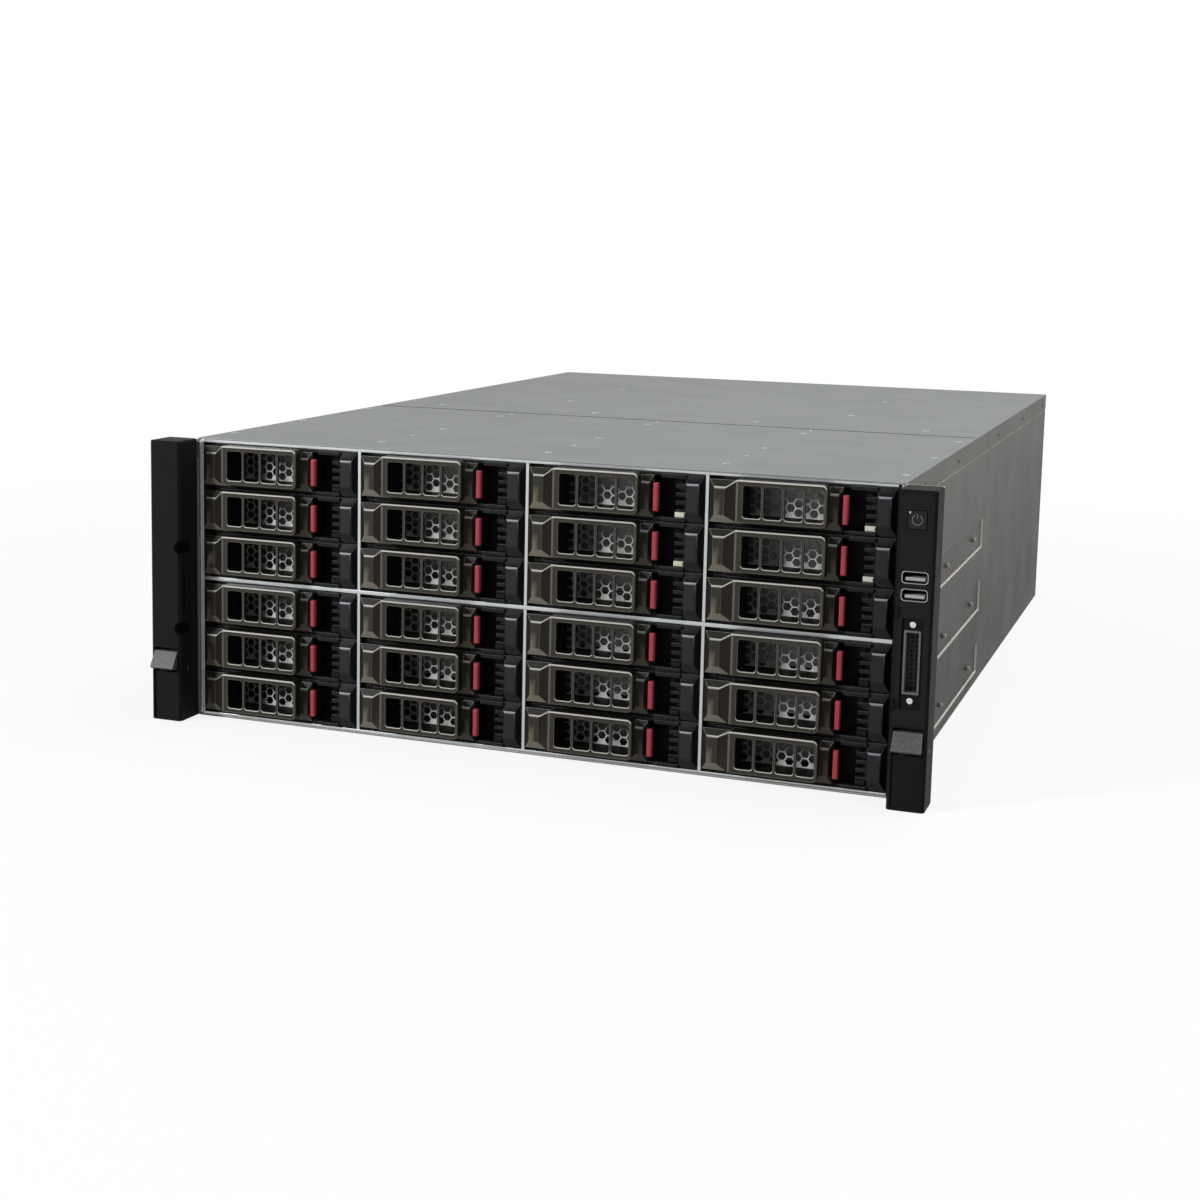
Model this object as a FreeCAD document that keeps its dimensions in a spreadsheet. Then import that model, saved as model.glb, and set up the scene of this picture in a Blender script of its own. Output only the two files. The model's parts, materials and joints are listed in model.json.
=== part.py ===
"""Rack video server, four units high, with 24 hot-swap drive carriers: a parametric assembly.

Frame: +X to the right seen from the front, +Y to the back, +Z up, millimetres.
The origin is the middle of the floor's front edge, on the plane where the rack flanges bear.
"""
import FreeCAD, Part
import os
import Sketcher
from FreeCAD import Placement, Rotation, Vector

# Driving dimensions, one spreadsheet cell each
DRIVING = {
    # Rack and body
    "rack_width": 482.6,
    "body_width": 441.0,
    "body_depth": 660.0,
    "body_height": 176.5,
    "sheet": 1.2,
    "cover_sheet": 1.0,
    "skirt_height": 13.0,
    "cover_seam": 258.0,
    "lip_height": 6.0,
    "fit_gap": 0.3,
    # Side recesses with their rail studs
    "recess_depth": 1.4,
    "recess_height": 20.6,
    "recess_start": 10.0,
    "recess_end": 306.0,
    "recess_lowest": 7.2,
    "rack_unit": 44.45,
    "stud_radius": 1.5,
    "stud_rise": 1.0,
    "stud_front": 156.0,
    "stud_rear": 267.0,
    # Ears
    "ear_depth": 20.5,
    "ear_foot": 0.5,
    "ear_height": 175.5,
    "ear_wall": 2.2,
    "ear_chamfer": 1.4,
    "flange_sheet": 1.5,
    "notch_radius": 4.2,
    "notch_reach": 12.0,
    "notch_lower": 59.0,
    "notch_upper": 110.0,
    "grip_slot_inset": 3.6,
    "grip_slot_width": 2.5,
    "grip_slot_foot": 71.0,
    "grip_slot_head": 94.0,
    "ear_cavity_foot": 50.0,
    "ear_roof": 3.0,
    "panel_foot": 48.0,
    "panel_head": 171.0,
    "panel_inset": 1.8,
    "panel_sheet": 1.2,
    "board_sheet": 1.6,
    # Ear latch
    "latch_width": 16.6,
    "latch_pivot_back": 13.0,
    "latch_pivot_up": 33.0,
    "latch_pin_radius": 1.5,
    "latch_sill": 31.2,
    "latch_sill_sheet": 1.4,
    "latch_floor": 26.0,
    "latch_lintel": 46.5,
    "lower_plate_foot": 2.0,
    "lower_plate_inset": 1.0,
    "thumb_rise": 11.4,
    "thumb_reach": 5.6,
    "thumb_lip_head": 2.2,
    "thumb_lip_foot": 1.0,
    "thumb_lip_round": 0.8,
    "thumb_root": 1.6,
    "hub_reach": 4.0,
    "hub_drop": 3.8,
    "hub_rise": 5.4,
    "claw_width": 6.0,
    "claw_slot_width": 8.0,
    "claw_slot_height": 18.0,
    "claw_slot_lift": 5.0,
    "claw_foot": 1.6,
    "claw_head": 5.2,
    "claw_hook": 2.6,
    "claw_tip": 6.0,
    "claw_drop": 1.4,
    "claw_lead": 1.0,
    "running_gap": 0.05,
    # Front controls, heights above the floor
    "button_side": 10.0,
    "button_up": 160.0,
    "button_proud": 0.6,
    "button_travel": 1.6,
    "button_rim": 12.6,
    "button_rim_sheet": 1.2,
    "switch_side": 6.0,
    "switch_height": 6.6,
    "control_board_foot": 54.0,
    "control_board_head": 168.0,
    "control_board_back": 8.0,
    "control_board_gap": 0.4,
    "usb_width": 14.4,
    "usb_height": 6.8,
    "usb_wall": 0.9,
    "usb_upper": 128.8,
    "usb_lower": 119.3,
    "usb_back": 2.0,
    "usb_sink": 0.2,
    "tongue_width": 11.0,
    "tongue_height": 1.8,
    "tongue_drop": 1.9,
    "tongue_sink": 1.6,
    "header_width": 9.2,
    "header_length": 35.0,
    "header_up": 82.5,
    "header_wall": 1.2,
    "header_floor": 5.0,
    "header_proud": 0.6,
    "header_window_width": 11.6,
    "header_window_foot": 57.0,
    "header_window_head": 106.5,
    "header_screw_radius": 1.7,
    "header_screw_rise": 1.0,
    "header_screw_upper": 103.3,
    "header_screw_lower": 61.6,
    # Drive cage
    "cage_depth": 190.0,
    "cage_side": 1.4,
    "cage_plate": 1.6,
    "divider": 2.0,
    "shelf": 2.4,
    "ledge_width": 1.9,
    "ledge_sheet": 0.9,
    "ledge_front_gap": 2.0,
    "ledge_back_gap": 4.0,
    "ledge_gap": 0.1,
    "backplane_sheet": 2.0,
    "air_left": 62.0,
    "air_right": 96.0,
    "air_foot": 7.0,
    "air_head": 21.0,
    "plug_left": 12.0,
    "plug_width": 34.0,
    "plug_foot": 3.0,
    "plug_height": 5.0,
    "plug_gap": 0.2,
    # Drive carrier, from its left edge and its foot
    "carrier_gap": 0.4,
    "carrier_height": 27.4,
    "carrier_length": 186.0,
    "carrier_lift": 0.4,
    "rail_foot": 1.3,
    "rail_drop": 2.4,
    "bezel_depth": 12.0,
    "duct_left": 20.5,
    "duct_right": 68.0,
    "duct_foot": 5.0,
    "duct_head": 25.0,
    "thumb_pocket_depth": 10.0,
    "thumb_pocket_left": 76.5,
    "thumb_pocket_right": 95.1,
    "hinge_recess_depth": 3.6,
    "hinge_recess_width": 8.6,
    "block_left_slope": 0.6,
    "block_right_slope": 3.0,
    "block_border": 0.4,
    "block_gap": 0.1,
    "grille_left": 18.5,
    "grille_right": 70.0,
    "grille_foot": 3.0,
    "grille_head": 26.0,
    "grille_sheet": 0.8,
    "drive_width": 101.6,
    "drive_length": 147.0,
    "drive_height": 26.1,
    "drive_foot": 0.7,
    "drive_back_gap": 0.5,
    "lever_left": 0.5,
    "lever_right": 76.2,
    "lever_foot": 1.6,
    "lever_head": 25.8,
    "lever_back": 0.4,
    "lever_face_left": 3.4,
    "lever_face_right": 73.8,
    "lever_face_foot": 5.9,
    "lever_face_head": 21.5,
    "lever_ramp_left": 9.2,
    "grip_left": 18.3,
    "grip_right": 69.2,
    "grip_foot": 3.2,
    "grip_head": 27.2,
    "grip_front_wall": 2.0,
    "grip_side_wall": 2.1,
    "grip_left_wall": 2.3,
    "lever_reach": 10.0,
    "tab_reach": 3.0,
    "window_width": 10.2,
    "window_height": 18.0,
    "window_pitch": 11.8,
    "window_first": 21.9,
    "hinge_across": 3.8,
    "hinge_front": 1.0,
    "hinge_radius": 0.8,
    "hinge_lug_radius": 1.5,
    "hinge_lug_sheet": 1.2,
    "hinge_arm_back": 4.0,
    "release_left": 76.9,
    "release_right": 79.3,
    "release_front": 5.5,
    "release_back": 9.9,
    "release_foot": 5.0,
    "release_head": 22.4,
    "release_side_taper": 0.3,
    "release_end_taper": 0.6,
    # Fans
    "fan_side": 120.0,
    "fan_depth": 38.0,
    "fan_pitch": 140.0,
    "fan_bore": 57.5,
    "fan_hub": 20.0,
    "fan_plane": 268.0,
    "fan_shaft": 2.0,
    "fan_wall_gap": 0.2,
    "fan_wall_drop": 2.0,
    "spoke_sheet": 4.0,
    "spoke_width": 4.0,
    "spoke_inset": 1.0,
    "shaft_front_gap": 3.0,
    "rotor_front_gap": 2.0,
    "rotor_back_gap": 0.5,
    "blade_gap": 3.0,
    "blade_front_gap": 4.0,
    "blade_back_gap": 6.4,
    "blade_sheet": 1.6,
    "blade_lead": 15.0,
    "blade_trail": 12.0,
    "blade_root": 0.66,
    # Rear bay
    "board_width": 330.0,
    "board_depth": 305.0,
    "board_left": -121.0,
    "board_gap": 4.0,
    "board_up": 8.0,
    "standoff_radius": 3.2,
    "standoff_margin": 12.0,
    "standoff_across": 153.0,
    "standoff_along": 140.0,
    "sink_left": 20.0,
    "sink_width": 78.0,
    "sink_front": 60.0,
    "sink_depth": 90.0,
    "sink_base": 7.0,
    "sink_height": 64.0,
    "fin_sheet": 1.0,
    "memory_first": -74.0,
    "memory_pitch": 10.0,
    "memory_front": 34.0,
    "memory_length": 142.0,
    "memory_end": 4.0,
    "memory_sheet": 3.6,
    "memory_height": 31.0,
    "memory_socket_width": 6.4,
    "memory_socket_height": 8.0,
    # Power supplies, from their lower left corner
    "psu_width": 76.0,
    "psu_length": 185.0,
    "psu_height": 40.0,
    "psu_left": -211.0,
    "psu_floor": 1.5,
    "psu_pitch": 42.0,
    "psu_side_gap": 0.6,
    "psu_head_gap": 0.4,
    "psu_cage_margin": 4.0,
    "psu_proud": 1.0,
    "psu_bay_gap": 1.0,
    "psu_bay_head": 0.5,
    "inlet_left": 5.0,
    "inlet_right": 29.0,
    "inlet_foot": 18.0,
    "inlet_head": 34.5,
    "inlet_depth": 15.0,
    "exhaust_across": 50.0,
    "exhaust_up": 20.0,
    "exhaust_radius": 16.5,
    "handle_left": 8.0,
    "handle_right": 36.0,
    "handle_foot": 4.0,
    "handle_head": 11.0,
    "handle_reach": 23.0,
    "handle_bar": 3.5,
    "handle_corner": 3.0,
    "catch_across": 72.8,
    "catch_back": 3.4,
    "catch_foot": 12.0,
    "catch_head": 24.0,
    "catch_width": 3.2,
    "catch_gap": 0.5,
    "catch_neck": 5.4,
    "catch_blade": 1.8,
    "catch_bend": 12.0,
    "catch_reach": 16.0,
    "catch_curl": 1.0,
    "lug_reach": 5.0,
    "lug_sheet": 2.7,
    # Rear wall
    "vent_width": 6.0,
    "vent_pitch": 10.0,
    "vent_middle_pitch": 11.0,
    "vent_head": 148.0,
    "vent_left_start": -200.0,
    "vent_left_foot": 98.0,
    "vent_middle_start": -70.0,
    "vent_middle_foot": 62.0,
    "socket_wall": 1.6,
    "socket_depth": 21.0,
    "socket_hollow": 11.0,
    "socket_proud": 0.6,
    "network_width": 16.6,
    "network_height": 27.0,
    "network_first": -60.0,
    "network_second": -38.0,
    "stack_width": 15.0,
    "stack_height": 16.4,
    "stack_across": -84.0,
    "display_width": 31.0,
    "display_height": 12.6,
    "display_across": -5.0,
    "slot_first": 62.0,
    "slot_pitch": 20.32,
    "slot_width": 13.4,
    "slot_foot": 16.0,
    "slot_height": 112.0,
    "bracket_overlap": 2.4,
    "bracket_sheet": 0.9,
    "bracket_drop": 4.0,
    "bracket_rise": 5.0,
    "bracket_tab": 12.0,
}

COLUMNS = 4
GROUPS = ("upper", "lower")
ROWS_IN_GROUP = 3
WINDOWS = 4
FANS = ("left", "middle", "right")
FAN_BLADES = 5
FINS = 15
MEMORY_SLOTS = 8
STANDOFFS = 3
SLOTS = 7
LEFT_VENTS = 12
MIDDLE_VENTS = 10
RECESSES = 3
ROWS = ROWS_IN_GROUP * len(GROUPS)
WORKING_CARRIERS = ((4, 1), (4, 2))

doc = FreeCAD.newDocument("video_server")


class Size:
    """A length that carries both its number and the spreadsheet expression behind it."""

    def __init__(self, number, text):
        self.number = number
        self.text = text

    @staticmethod
    def of(value):
        if isinstance(value, Size):
            return value
        return Size(float(value), f"({float(value)!r})")

    def __add__(self, other):
        other = Size.of(other)
        return Size(self.number + other.number, f"({self.text} + {other.text})")

    def __sub__(self, other):
        other = Size.of(other)
        return Size(self.number - other.number, f"({self.text} - {other.text})")

    def __mul__(self, other):
        other = Size.of(other)
        return Size(self.number * other.number, f"({self.text} * {other.text})")

    def __truediv__(self, other):
        other = Size.of(other)
        return Size(self.number / other.number, f"({self.text} / {other.text})")

    def __radd__(self, other):
        return Size.of(other) + self

    def __rsub__(self, other):
        return Size.of(other) - self

    def __rmul__(self, other):
        return Size.of(other) * self

    def __neg__(self):
        return Size.of(0) - self


class Dims:
    """The spreadsheet: each alias reads back as a Size."""

    def __init__(self, values):
        sheet = doc.addObject("Spreadsheet::Sheet", "Dims")
        self.numbers = values
        for row, (alias, number) in enumerate(values.items(), start=1):
            sheet.set(f"A{row}", alias)
            sheet.set(f"B{row}", str(number))
            sheet.setAlias(f"B{row}", alias)
        doc.recompute()

    def __getattr__(self, alias):
        return Size(self.numbers[alias], f"Dims.{alias}")


dim = Dims(DRIVING)
sub_parts = []


def bind(item, **sizes):
    """Bind each named property of an object to its size's expression."""
    for name, size in sizes.items():
        item.setExpression(name, Size.of(size).text)


def put(item, x=0, y=0, z=0):
    """Bind the place of an object."""
    for axis, size in (("x", x), ("y", y), ("z", z)):
        item.setExpression(f"Placement.Base.{axis}", Size.of(size).text)
    return item


def low_high(middle, width):
    """The span of a width about its middle."""
    return (middle - width / 2, middle + width / 2)


def flip(span, side):
    """A span on the right, or its mirror image on the left when side is -1."""
    low, high = span
    return (low, high) if side > 0 else (-high, -low)


def rectangle(across, up):
    """Corner points of a rectangle from two spans."""
    return [(across[0], up[0]), (across[1], up[0]), (across[1], up[1]), (across[0], up[1])]


def block(name, x, y, z):
    """A box between three spans."""
    box = doc.addObject("Part::Box", name)
    spans = [[Size.of(end) for end in span] for span in (x, y, z)]
    for side, (low, high) in zip(("Length", "Width", "Height"), spans):
        bind(box, **{side: high - low})
    return put(box, *[low for low, high in spans])


def rod(name, radius, x, y, z, axis):
    """A cylinder whose axis runs along one span; the other two are its centre line."""
    turn = {"x": Rotation(Vector(0, 1, 0), 90), "y": Rotation(Vector(1, 0, 0), -90), "z": Rotation()}
    places = {"x": x, "y": y, "z": z}
    low, high = (Size.of(end) for end in places[axis])
    places[axis] = low
    cylinder = doc.addObject("Part::Cylinder", name)
    cylinder.Placement = Placement(Vector(), turn[axis])
    bind(cylinder, Radius=radius, Height=high - low)
    return put(cylinder, **places)


def frustum(name, y, near, far):
    """A four-sided taper from the near x and z spans at y[0] to the far ones at y[1]."""
    wedge = doc.addObject("Part::Wedge", name)
    bind(wedge, Ymin=y[0], Ymax=y[1])
    bind(wedge, Xmin=near[0][0], Xmax=near[0][1], Zmin=near[1][0], Zmax=near[1][1])
    bind(wedge, X2min=far[0][0], X2max=far[0][1], Z2min=far[1][0], Z2max=far[1][1])
    return wedge


def fuse(name, *shapes):
    joined = doc.addObject("Part::MultiFuse", name)
    joined.Shapes = list(shapes)
    joined.Refine = True
    return joined


def cut(name, base, *tools):
    tool = tools[0] if len(tools) == 1 else fuse(f"{name}_tools", *tools)
    result = doc.addObject("Part::Cut", name)
    result.Base = base
    result.Tool = tool
    result.Refine = True
    return result


def gather(name, shapes):
    """Several separate solids kept together without joining them."""
    group = doc.addObject("Part::Compound", name)
    group.Links = list(shapes)
    return group


def sub_part(label, *shapes):
    """A named piece of the assembly, which gets a file of its own."""
    part = gather(f"{label}_part", shapes)
    part.Label = label
    sub_parts.append(part)
    return part


class Piece:
    """A PartDesign body with short calls for padding and pocketing outlines along an axis."""

    PLANES = {"x": "YZ_Plane", "y": "XZ_Plane", "z": "XY_Plane"}

    def __init__(self, name):
        self.name = name
        self.body = doc.addObject("PartDesign::Body", name)

    def origin(self, role):
        return next(item for item in self.body.Origin.OriginFeatures if item.Role == role)

    def add(self, kind):
        count = len(self.body.Group)
        return self.body.newObject(kind, f"{self.name}_{kind.split('::')[1].lower()}_{count}")

    def sketch(self, axis, start, outlines, circles):
        """Closed outlines and circles on the plane across an axis, each corner bound to the sheet."""
        sketch = self.add("Sketcher::SketchObject")
        sketch.AttachmentSupport = (self.origin(self.PLANES[axis]), [""])
        sketch.MapMode = "FlatFace"
        lift = -Size.of(start) if axis == "y" else Size.of(start)
        sketch.setExpression("AttachmentOffset.Base.z", lift.text)
        for outline in outlines:
            self.draw_outline(sketch, [[Size.of(value) for value in corner] for corner in outline])
        for across, up, radius in circles:
            self.draw_circle(sketch, Size.of(across), Size.of(up), Size.of(radius))
        return sketch

    def hold(self, sketch, kind, line, point, size):
        """Fix a point's distance from the sketch origin to a size."""
        index = sketch.addConstraint(Sketcher.Constraint(kind, -1, 1, line, point, size.number))
        sketch.setExpression(f"Constraints[{index}]", size.text)

    def draw_outline(self, sketch, corners):
        first = sketch.GeometryCount
        ends = [Vector(across.number, up.number, 0) for across, up in corners]
        count = len(ends)
        for index in range(count):
            sketch.addGeometry(Part.LineSegment(ends[index], ends[(index + 1) % count]))
        for index, (across, up) in enumerate(corners):
            following = first + (index + 1) % count
            sketch.addConstraint(Sketcher.Constraint("Coincident", first + index, 2, following, 1))
            self.hold(sketch, "DistanceX", first + index, 1, across)
            self.hold(sketch, "DistanceY", first + index, 1, up)

    def draw_circle(self, sketch, across, up, radius):
        circle = Part.Circle(Vector(across.number, up.number, 0), Vector(0, 0, 1), radius.number)
        line = sketch.addGeometry(circle)
        self.hold(sketch, "DistanceX", line, 3, across)
        self.hold(sketch, "DistanceY", line, 3, up)
        index = sketch.addConstraint(Sketcher.Constraint("Radius", line, radius.number))
        sketch.setExpression(f"Constraints[{index}]", radius.text)

    def feature(self, kind, axis, span, outlines, circles, reverse):
        start, end = (Size.of(value) for value in span)
        profile = self.sketch(axis, start, outlines, circles)
        item = self.add(kind)
        item.Profile = profile
        item.Reversed = reverse
        bind(item, Length=end - start)
        self.body.Tip = item
        return item

    def pad(self, axis, span, *outlines, circles=()):
        """Add material over a span of an axis."""
        return self.feature("PartDesign::Pad", axis, span, outlines, circles, axis == "y")

    def pocket(self, axis, span, *outlines, circles=()):
        """Cut material over a span of an axis."""
        return self.feature("PartDesign::Pocket", axis, span, outlines, circles, axis != "y")

    def row(self, source, role, length, count):
        """Repeat a feature in a straight line along an origin axis."""
        pattern = self.add("PartDesign::LinearPattern")
        pattern.Originals = [source]
        pattern.Direction = (self.origin(role), [""])
        pattern.Occurrences = count
        bind(pattern, Length=length)
        self.body.Tip = pattern
        return pattern

    def ring(self, source, role, count):
        """Repeat a feature round an origin axis."""
        pattern = self.add("PartDesign::PolarPattern")
        pattern.Originals = [source]
        pattern.Axis = (self.origin(role), [""])
        pattern.Angle = 360
        pattern.Occurrences = count
        self.body.Tip = pattern
        return pattern


# Places that several pieces share
half_body = dim.body_width / 2
half_rack = dim.rack_width / 2
ear_front = -dim.ear_depth - dim.flange_sheet
ear_top = dim.ear_foot + dim.ear_height
ear_middle = (half_body + half_rack) / 2
panel_face = ear_front + dim.panel_sheet
ear_wall_back = panel_face + dim.ear_wall
board_face = -dim.control_board_back
skirt_foot = dim.body_height - dim.skirt_height
side_head = skirt_foot - dim.fit_gap
cover_under = dim.body_height - dim.cover_sheet
cage_half = half_body - dim.recess_depth - dim.sheet
bay_half = cage_half - dim.cage_side
column_width = (bay_half * 2 - dim.divider * (COLUMNS - 1)) / COLUMNS
column_pitch = column_width + dim.divider
cage_foot = dim.sheet + dim.cage_plate
cage_head = cover_under - dim.cage_plate
lip_foot = side_head - dim.lip_height
lip_head = cover_under - dim.fit_gap
group_height = (cage_head - cage_foot - dim.shelf) / len(GROUPS)
row_pitch = group_height / ROWS_IN_GROUP
group_foot = {"lower": cage_foot, "upper": cage_foot + group_height + dim.shelf}
carrier_width = column_width - dim.carrier_gap * 2
rail_width = (carrier_width - dim.drive_width) / 2
rear_face = dim.body_depth
socket_foot = dim.board_up + dim.board_sheet


def column_left(column):
    """Left edge of a drive column, counted from 1 at the left."""
    return -bay_half + column_pitch * (column - 1)


def row_foot(row):
    """Floor height of a drive row, counted from 1 at the top."""
    group, place = divmod(row - 1, ROWS_IN_GROUP)
    return group_foot[GROUPS[group]] + row_pitch * (ROWS_IN_GROUP - 1 - place)


def recess_spans():
    """Height spans of the three recesses in each side wall."""
    feet = [dim.recess_lowest + dim.rack_unit * unit for unit in range(RECESSES)]
    return [(foot, foot + dim.recess_height) for foot in feet]


def make_tray():
    """Floor and side walls folded from one sheet, with rack flanges, recesses and latch slots."""
    wall = half_body - dim.sheet
    lip = wall - dim.sheet
    right = [(half_body, 0), (half_body, side_head), (wall, side_head), (wall, lip_head), (lip, lip_head),
             (lip, lip_foot), (wall, lip_foot), (wall, dim.sheet)]
    left = [(-across, up) for across, up in reversed(right)]
    tray = Piece("tray")
    tray.pad("y", (0, dim.body_depth), right + left)
    bump_y = (dim.recess_start - dim.sheet, dim.recess_end + dim.sheet)
    recess_y = (dim.recess_start, dim.recess_end)
    bumps = [rectangle(bump_y, (low - dim.sheet, high + dim.sheet)) for low, high in recess_spans()]
    hollows = [rectangle(recess_y, span) for span in recess_spans()]
    slot = low_high(dim.latch_pivot_up + dim.claw_slot_lift, dim.claw_slot_height)
    for side in (1, -1):
        flange = [(wall, dim.ear_foot), (half_rack, dim.ear_foot), (half_rack, ear_top), (half_body, ear_top),
                  (half_body, side_head), (wall, side_head)]
        tray.pad("y", (-dim.flange_sheet, 0), [(side * across, up) for across, up in flange])
        tray.pad("x", flip((cage_half, wall), side), *bumps)
        tray.pocket("x", flip((half_body - dim.recess_depth, half_body), side), *hollows)
        claw = flip(low_high(ear_middle, dim.claw_slot_width), side)
        tray.pocket("y", (-dim.flange_sheet, 0), rectangle(claw, slot))
    sub_part("chassis_tray", tray.body)


def make_rail_studs():
    """Studs in the recesses of each side, on which the slide rails hook."""
    floor = half_body - dim.recess_depth
    studs = []
    for side, hand in ((1, "right"), (-1, "left")):
        for unit, span in enumerate(recess_spans()):
            for place, y in (("front", dim.stud_front), ("rear", dim.stud_rear)):
                across = flip((floor, half_body + dim.stud_rise), side)
                name = f"stud_{hand}_{unit}_{place}"
                studs.append(rod(name, dim.stud_radius, across, y, (span[0] + span[1]) / 2, "x"))
    sub_part("rail_studs", *studs)


def make_cover(label, span, lip):
    """A top sheet with a skirt down each side, and a rear lip where asked."""
    inner = half_body - dim.cover_sheet
    right = [(half_body, skirt_foot), (half_body, dim.body_height)]
    left = [(-half_body, dim.body_height), (-half_body, skirt_foot)]
    inside = [(-inner, skirt_foot), (-inner, cover_under), (inner, cover_under), (inner, skirt_foot)]
    cover = Piece(f"{label}_sheet")
    cover.pad("y", span, right + left + inside)
    if lip:
        back = (span[1], span[1] + dim.cover_sheet)
        cover.pad("y", back, rectangle((-half_body, half_body), (skirt_foot, dim.body_height)))
    sub_part(label, cover.body)


def make_rear_panel():
    """Rear wall with openings for power supplies, sockets, expansion slots and air."""
    wall = half_body - dim.sheet
    lip = wall - dim.sheet
    right = [(wall, dim.sheet), (wall, lip_foot), (lip, lip_foot), (lip, lip_head)]
    left = [(-across, up) for across, up in reversed(right)]
    panel = Piece("rear_wall")
    span = (rear_face - dim.sheet, rear_face)
    panel.pad("y", span, right + left)
    bay = (dim.psu_left - dim.psu_bay_gap, dim.psu_left + dim.psu_width + dim.psu_bay_gap)
    bay_head = dim.psu_floor + dim.psu_pitch * 2 + dim.psu_bay_head
    panel.pocket("y", span, rectangle(bay, (dim.sheet, bay_head)))
    opening = rectangle((slot_left(0), slot_left(0) + dim.slot_width),
                        (dim.slot_foot, dim.slot_foot + dim.slot_height))
    slots = panel.pocket("y", span, opening)
    panel.row(slots, "X_Axis", dim.slot_pitch * (SLOTS - 1), SLOTS)
    gap = dim.fit_gap
    sockets = [rectangle(low_high(across, width + gap * 2), (socket_foot - gap, socket_foot + height + gap))
               for name, across, width, height in socket_list()]
    panel.pocket("y", span, *sockets)
    for left, foot, pitch, count in (
            (dim.vent_left_start, dim.vent_left_foot, dim.vent_pitch, LEFT_VENTS),
            (dim.vent_middle_start, dim.vent_middle_foot, dim.vent_middle_pitch, MIDDLE_VENTS)):
        vent = panel.pocket("y", span, rectangle((left, left + dim.vent_width), (foot, dim.vent_head)))
        panel.row(vent, "X_Axis", pitch * (count - 1), count)
    sub_part("rear_panel", panel.body)


def slot_left(index):
    """Left edge of an expansion slot opening."""
    return dim.slot_first + dim.slot_pitch * index


def socket_list():
    """Rear sockets: name, middle, width and height."""
    return [("network_1", dim.network_first, dim.network_width, dim.network_height),
            ("network_2", dim.network_second, dim.network_width, dim.network_height),
            ("usb_stack", dim.stack_across, dim.stack_width, dim.stack_height),
            ("display", dim.display_across, dim.display_width, dim.display_height)]


def make_rear_sockets():
    """Socket housings on the board's rear edge, each with its cavity open to the back."""
    solids = []
    wall = dim.socket_wall
    face = rear_face + dim.socket_proud
    foot = socket_foot
    for name, across, width, height in socket_list():
        body = block(f"{name}_body", low_high(across, width), (rear_face - dim.socket_depth, face),
                     (foot, foot + height))
        tiers = 1 if name == "display" else 2
        tier = (height - wall * (tiers + 1)) / tiers
        hollows = [block(f"{name}_hollow_{level}", low_high(across, width - wall * 2),
                         (rear_face - dim.socket_hollow, face),
                         (foot + wall + (tier + wall) * level, foot + (tier + wall) * (level + 1)))
                   for level in range(tiers)]
        solids.append(cut(name, body, *hollows))
    sub_part("io_ports", *solids)


def make_slot_covers():
    """Blank brackets inside the expansion slots, each with a bent top tab."""
    inner = rear_face - dim.sheet
    bracket = Piece("slot_bracket")
    wide = (slot_left(0) - dim.bracket_overlap, slot_left(0) + dim.slot_width + dim.bracket_overlap)
    foot = dim.slot_foot - dim.bracket_drop
    head = dim.slot_foot + dim.slot_height + dim.bracket_rise
    sheet = dim.bracket_sheet
    tab = inner - dim.bracket_tab
    section = [(inner - sheet, foot), (inner, foot), (inner, head), (tab, head), (tab, head - sheet),
               (inner - sheet, head - sheet)]
    bracket.pad("x", wide, section)
    copies = [put(gather(f"slot_cover_{index}", [bracket.body]), x=dim.slot_pitch * index)
              for index in range(SLOTS)]
    sub_part("slot_covers", *copies)


def make_cage():
    """Plates of the drive cage, with a pair of ledges under each carrier."""
    depth = (0, dim.cage_depth)
    ledge_y = (dim.bezel_depth + dim.ledge_front_gap, dim.carrier_length - dim.ledge_back_gap)
    wide = (-bay_half, bay_half)
    plates = [block("cage_floor", wide, depth, (dim.sheet, cage_foot)),
              block("cage_roof", wide, depth, (cage_head, cover_under)),
              block("cage_shelf", wide, depth, (group_foot["upper"] - dim.shelf, group_foot["upper"]))]
    for side, hand in ((1, "right"), (-1, "left")):
        plate = Piece(f"cage_{hand}")
        plate.pad("y", depth, rectangle(flip((bay_half, cage_half), side), (dim.sheet, cover_under)))
        ledge = flip((bay_half - dim.ledge_width, bay_half), side)
        plate.pad("y", ledge_y, *[rectangle(ledge, ledge_span(row)) for row in range(1, ROWS + 1)])
        plates.append(plate.body)
    for column in range(2, COLUMNS + 1):
        for group_index, group in enumerate(GROUPS):
            upright = Piece(f"divider_{column - 1}_{group}")
            right = column_left(column)
            left = right - dim.divider
            foot = group_foot[group]
            upright.pad("y", depth, rectangle((left, right), (foot, foot + group_height)))
            rows = range(group_index * ROWS_IN_GROUP + 1, (group_index + 1) * ROWS_IN_GROUP + 1)
            ledge = (left - dim.ledge_width, right + dim.ledge_width)
            upright.pad("y", ledge_y, *[rectangle(ledge, ledge_span(row)) for row in rows])
            plates.append(upright.body)
    sub_part("drive_cage", *plates)


def ledge_span(row):
    """Height span of the ledges that carry a row."""
    head = row_foot(row) + dim.carrier_lift + dim.rail_foot - dim.ledge_gap
    return (head - dim.ledge_sheet, head)


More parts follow.
